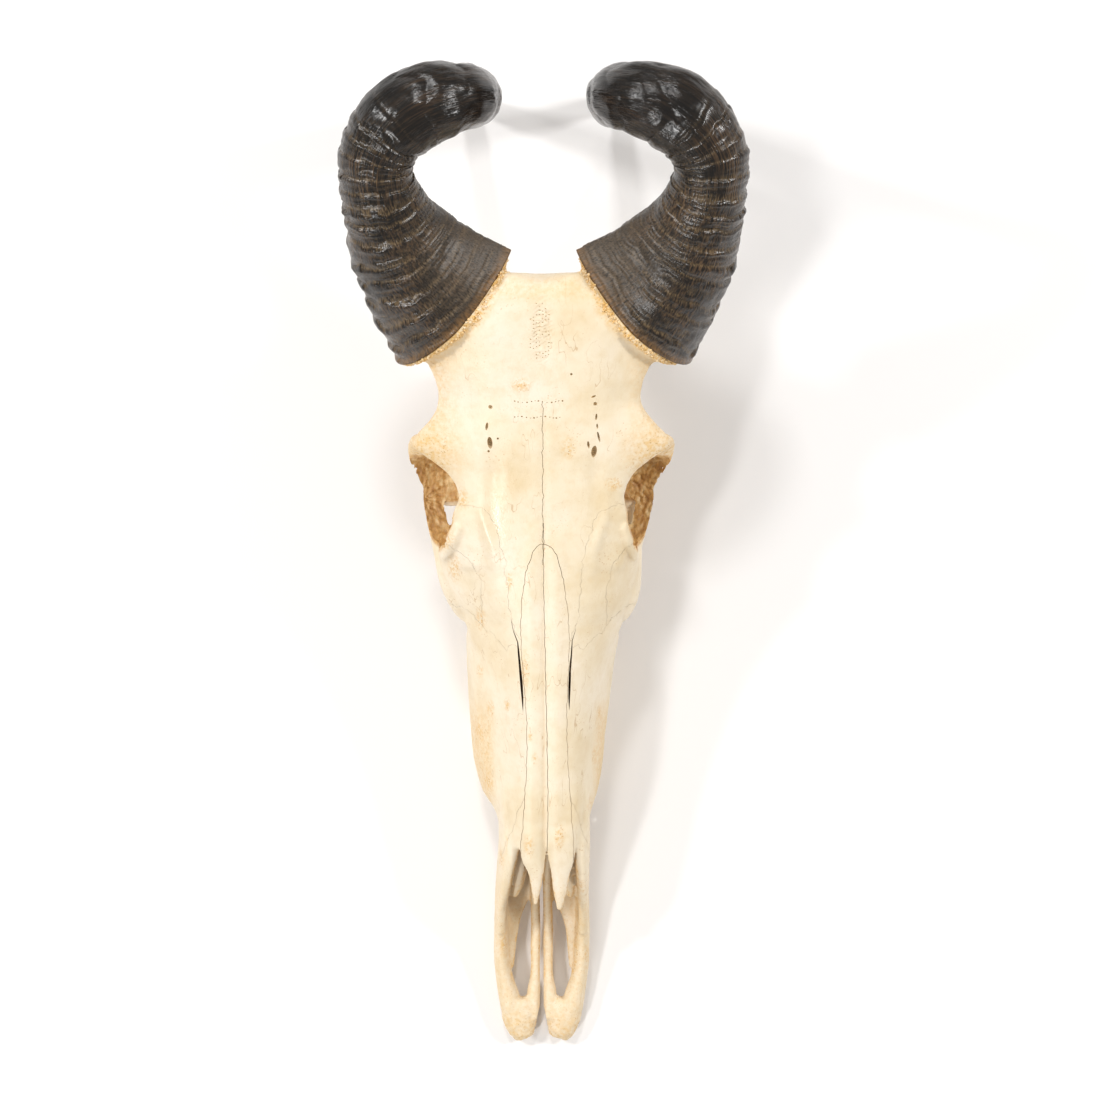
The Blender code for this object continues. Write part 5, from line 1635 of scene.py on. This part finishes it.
def horn(name, side, tree, into):
    """A keratin sheath: an oval base on the forehead that narrows to a tip on the floor."""
    last = len(HORN_LINE) - 1
    stations = np.linspace(0, last, HORN_RINGS)
    rings = horn_sections(side, 0, list(stations), HORN_ROUND)
    sheath = loft(name, rings, into)
    centres = np.array([np.mean(np.array(ring), axis=0) for ring in rings])
    gone = np.concatenate([[0], np.cumsum(np.linalg.norm(np.diff(centres, axis=0), axis=1))]) / MM
    girth = np.array([np.linalg.norm(np.array(ring) - centre, axis=1).mean()
                      for ring, centre in zip(rings, centres)]) / MM
    angles = 2 * math.pi * np.arange(HORN_ROUND) / HORN_ROUND
    growth = np.zeros((HORN_RINGS, HORN_ROUND, 3))
    growth[:, :, 0] = girth[:, None] * np.cos(angles)
    growth[:, :, 1] = girth[:, None] * np.sin(angles)
    growth[:, :, 2] = gone[:, None]
    ends = [[0, 0, gone[0]], [0, 0, gone[-1]]]
    shift = HORN_APART if side > 0 else 0
    store_vector(sheath, "growth", np.vstack([growth.reshape(-1, 3), ends]) + (0, 0, shift))

    def each(values):
        whole = np.repeat(np.asarray(values), HORN_ROUND)
        return np.concatenate([whole, [values[0], values[-1]]])

    ridged = falls(stations, RIDGED_KNOTS - 2.2, RIDGED_KNOTS)
    store(sheath, "age", each(stations / RIDGED_KNOTS))
    store(sheath, "ridged", each(ridged))
    free = np.minimum(falls(-stations, -0.12, 0.0), falls(stations, last - 1.4, last - 0.5))
    free = each(free)
    free[-2:] = 0
    store(sheath, "free", free)
    inner = np.concatenate([np.tile(falls(np.cos(angles), -0.7, 0.2), HORN_RINGS), [0, 0]])
    store(sheath, "inner", inner * each(falls(stations, 3.0, 5.0)))
    store(sheath, "dry", each(falls(stations, 0.8, 3.4)) * inner * 0.9)
    store(sheath, "rim", each(falls(gone, 2.0, 6.5)))
    return grown(sheath, tree, name, into)


def nodules(name, bone, side, tree, into):
    """The grains along one horn's rim, on the bone's own faces there."""
    places = skull_places(bone)
    near = from_line(places, coronet(side)) < 5.5
    outside = normals_of(bone)[:, 2] > -0.6
    wanted = near & outside
    bm = bmesh.new()
    bm.from_mesh(bone.data)
    bm.verts.ensure_lookup_table()
    far = [v for v, keep in zip(bm.verts, wanted) if not keep]
    bmesh.ops.delete(bm, geom=far, context="VERTS")
    return grown(from_bmesh("rim", bm, into), tree, name, into)


def main():
    discard([obj for obj in bpy.data.objects if obj.type in ("LIGHT", "CAMERA")])
    studio()
    skull = collection("skull")
    tools = collection("cutters")
    bone_look = dried_bone()
    enamel = molar_enamel()
    keratin = horn_keratin()
    named = bones(fused_skull(bone_surface(bone_look), tools), tools)
    for side, word in SIDES:
        bone = named["maxilla_" + word]
        named["maxilla_" + word] = largest(united(bone, tooth_row(side, tools), tools))
    for name, bone in named.items():
        tools.objects.unlink(bone)
        skull.objects.link(bone)
        bone.name = name + "_bone"
        bone.data.materials.clear()
        bone.data.materials.append(bone_look)
        bone.data.shade_smooth()
        bone.data.set_sharp_from_angle(angle=math.radians(50))
        stain(bone)
        if name.startswith("maxilla"):
            bone.data.materials.append(enamel)
            teeth_in(bone)
        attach(bone, "root")
        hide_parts(name)
    grains = coronet_nodules(bone_look)
    growth = horn_growth(keratin)
    for side, word in SIDES:
        rim = nodules("coronet_grains_" + word, named["frontals"], side, grains, skull)
        stain(rim)
        rim.data.shade_smooth()
        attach(rim, "root")
        sheath = horn(f"horn_{word}_sheath", side, growth, skull)
        sheath.data.shade_smooth()
        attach(sheath, "root")
        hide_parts("horn_" + word)
    discard(list(tools.objects))


def teeth_in(maxilla):
    """Give the crowns of a maxilla their enamel."""
    mesh = maxilla.data
    centres = np.empty(len(mesh.polygons) * 3, np.float32)
    mesh.polygons.foreach_get("center", centres)
    crown = centres.reshape(-1, 3)[:, 2] / MM < ENAMEL_TOP
    mesh.polygons.foreach_set("material_index", crown.astype(np.int32))
    mesh.update()


main()
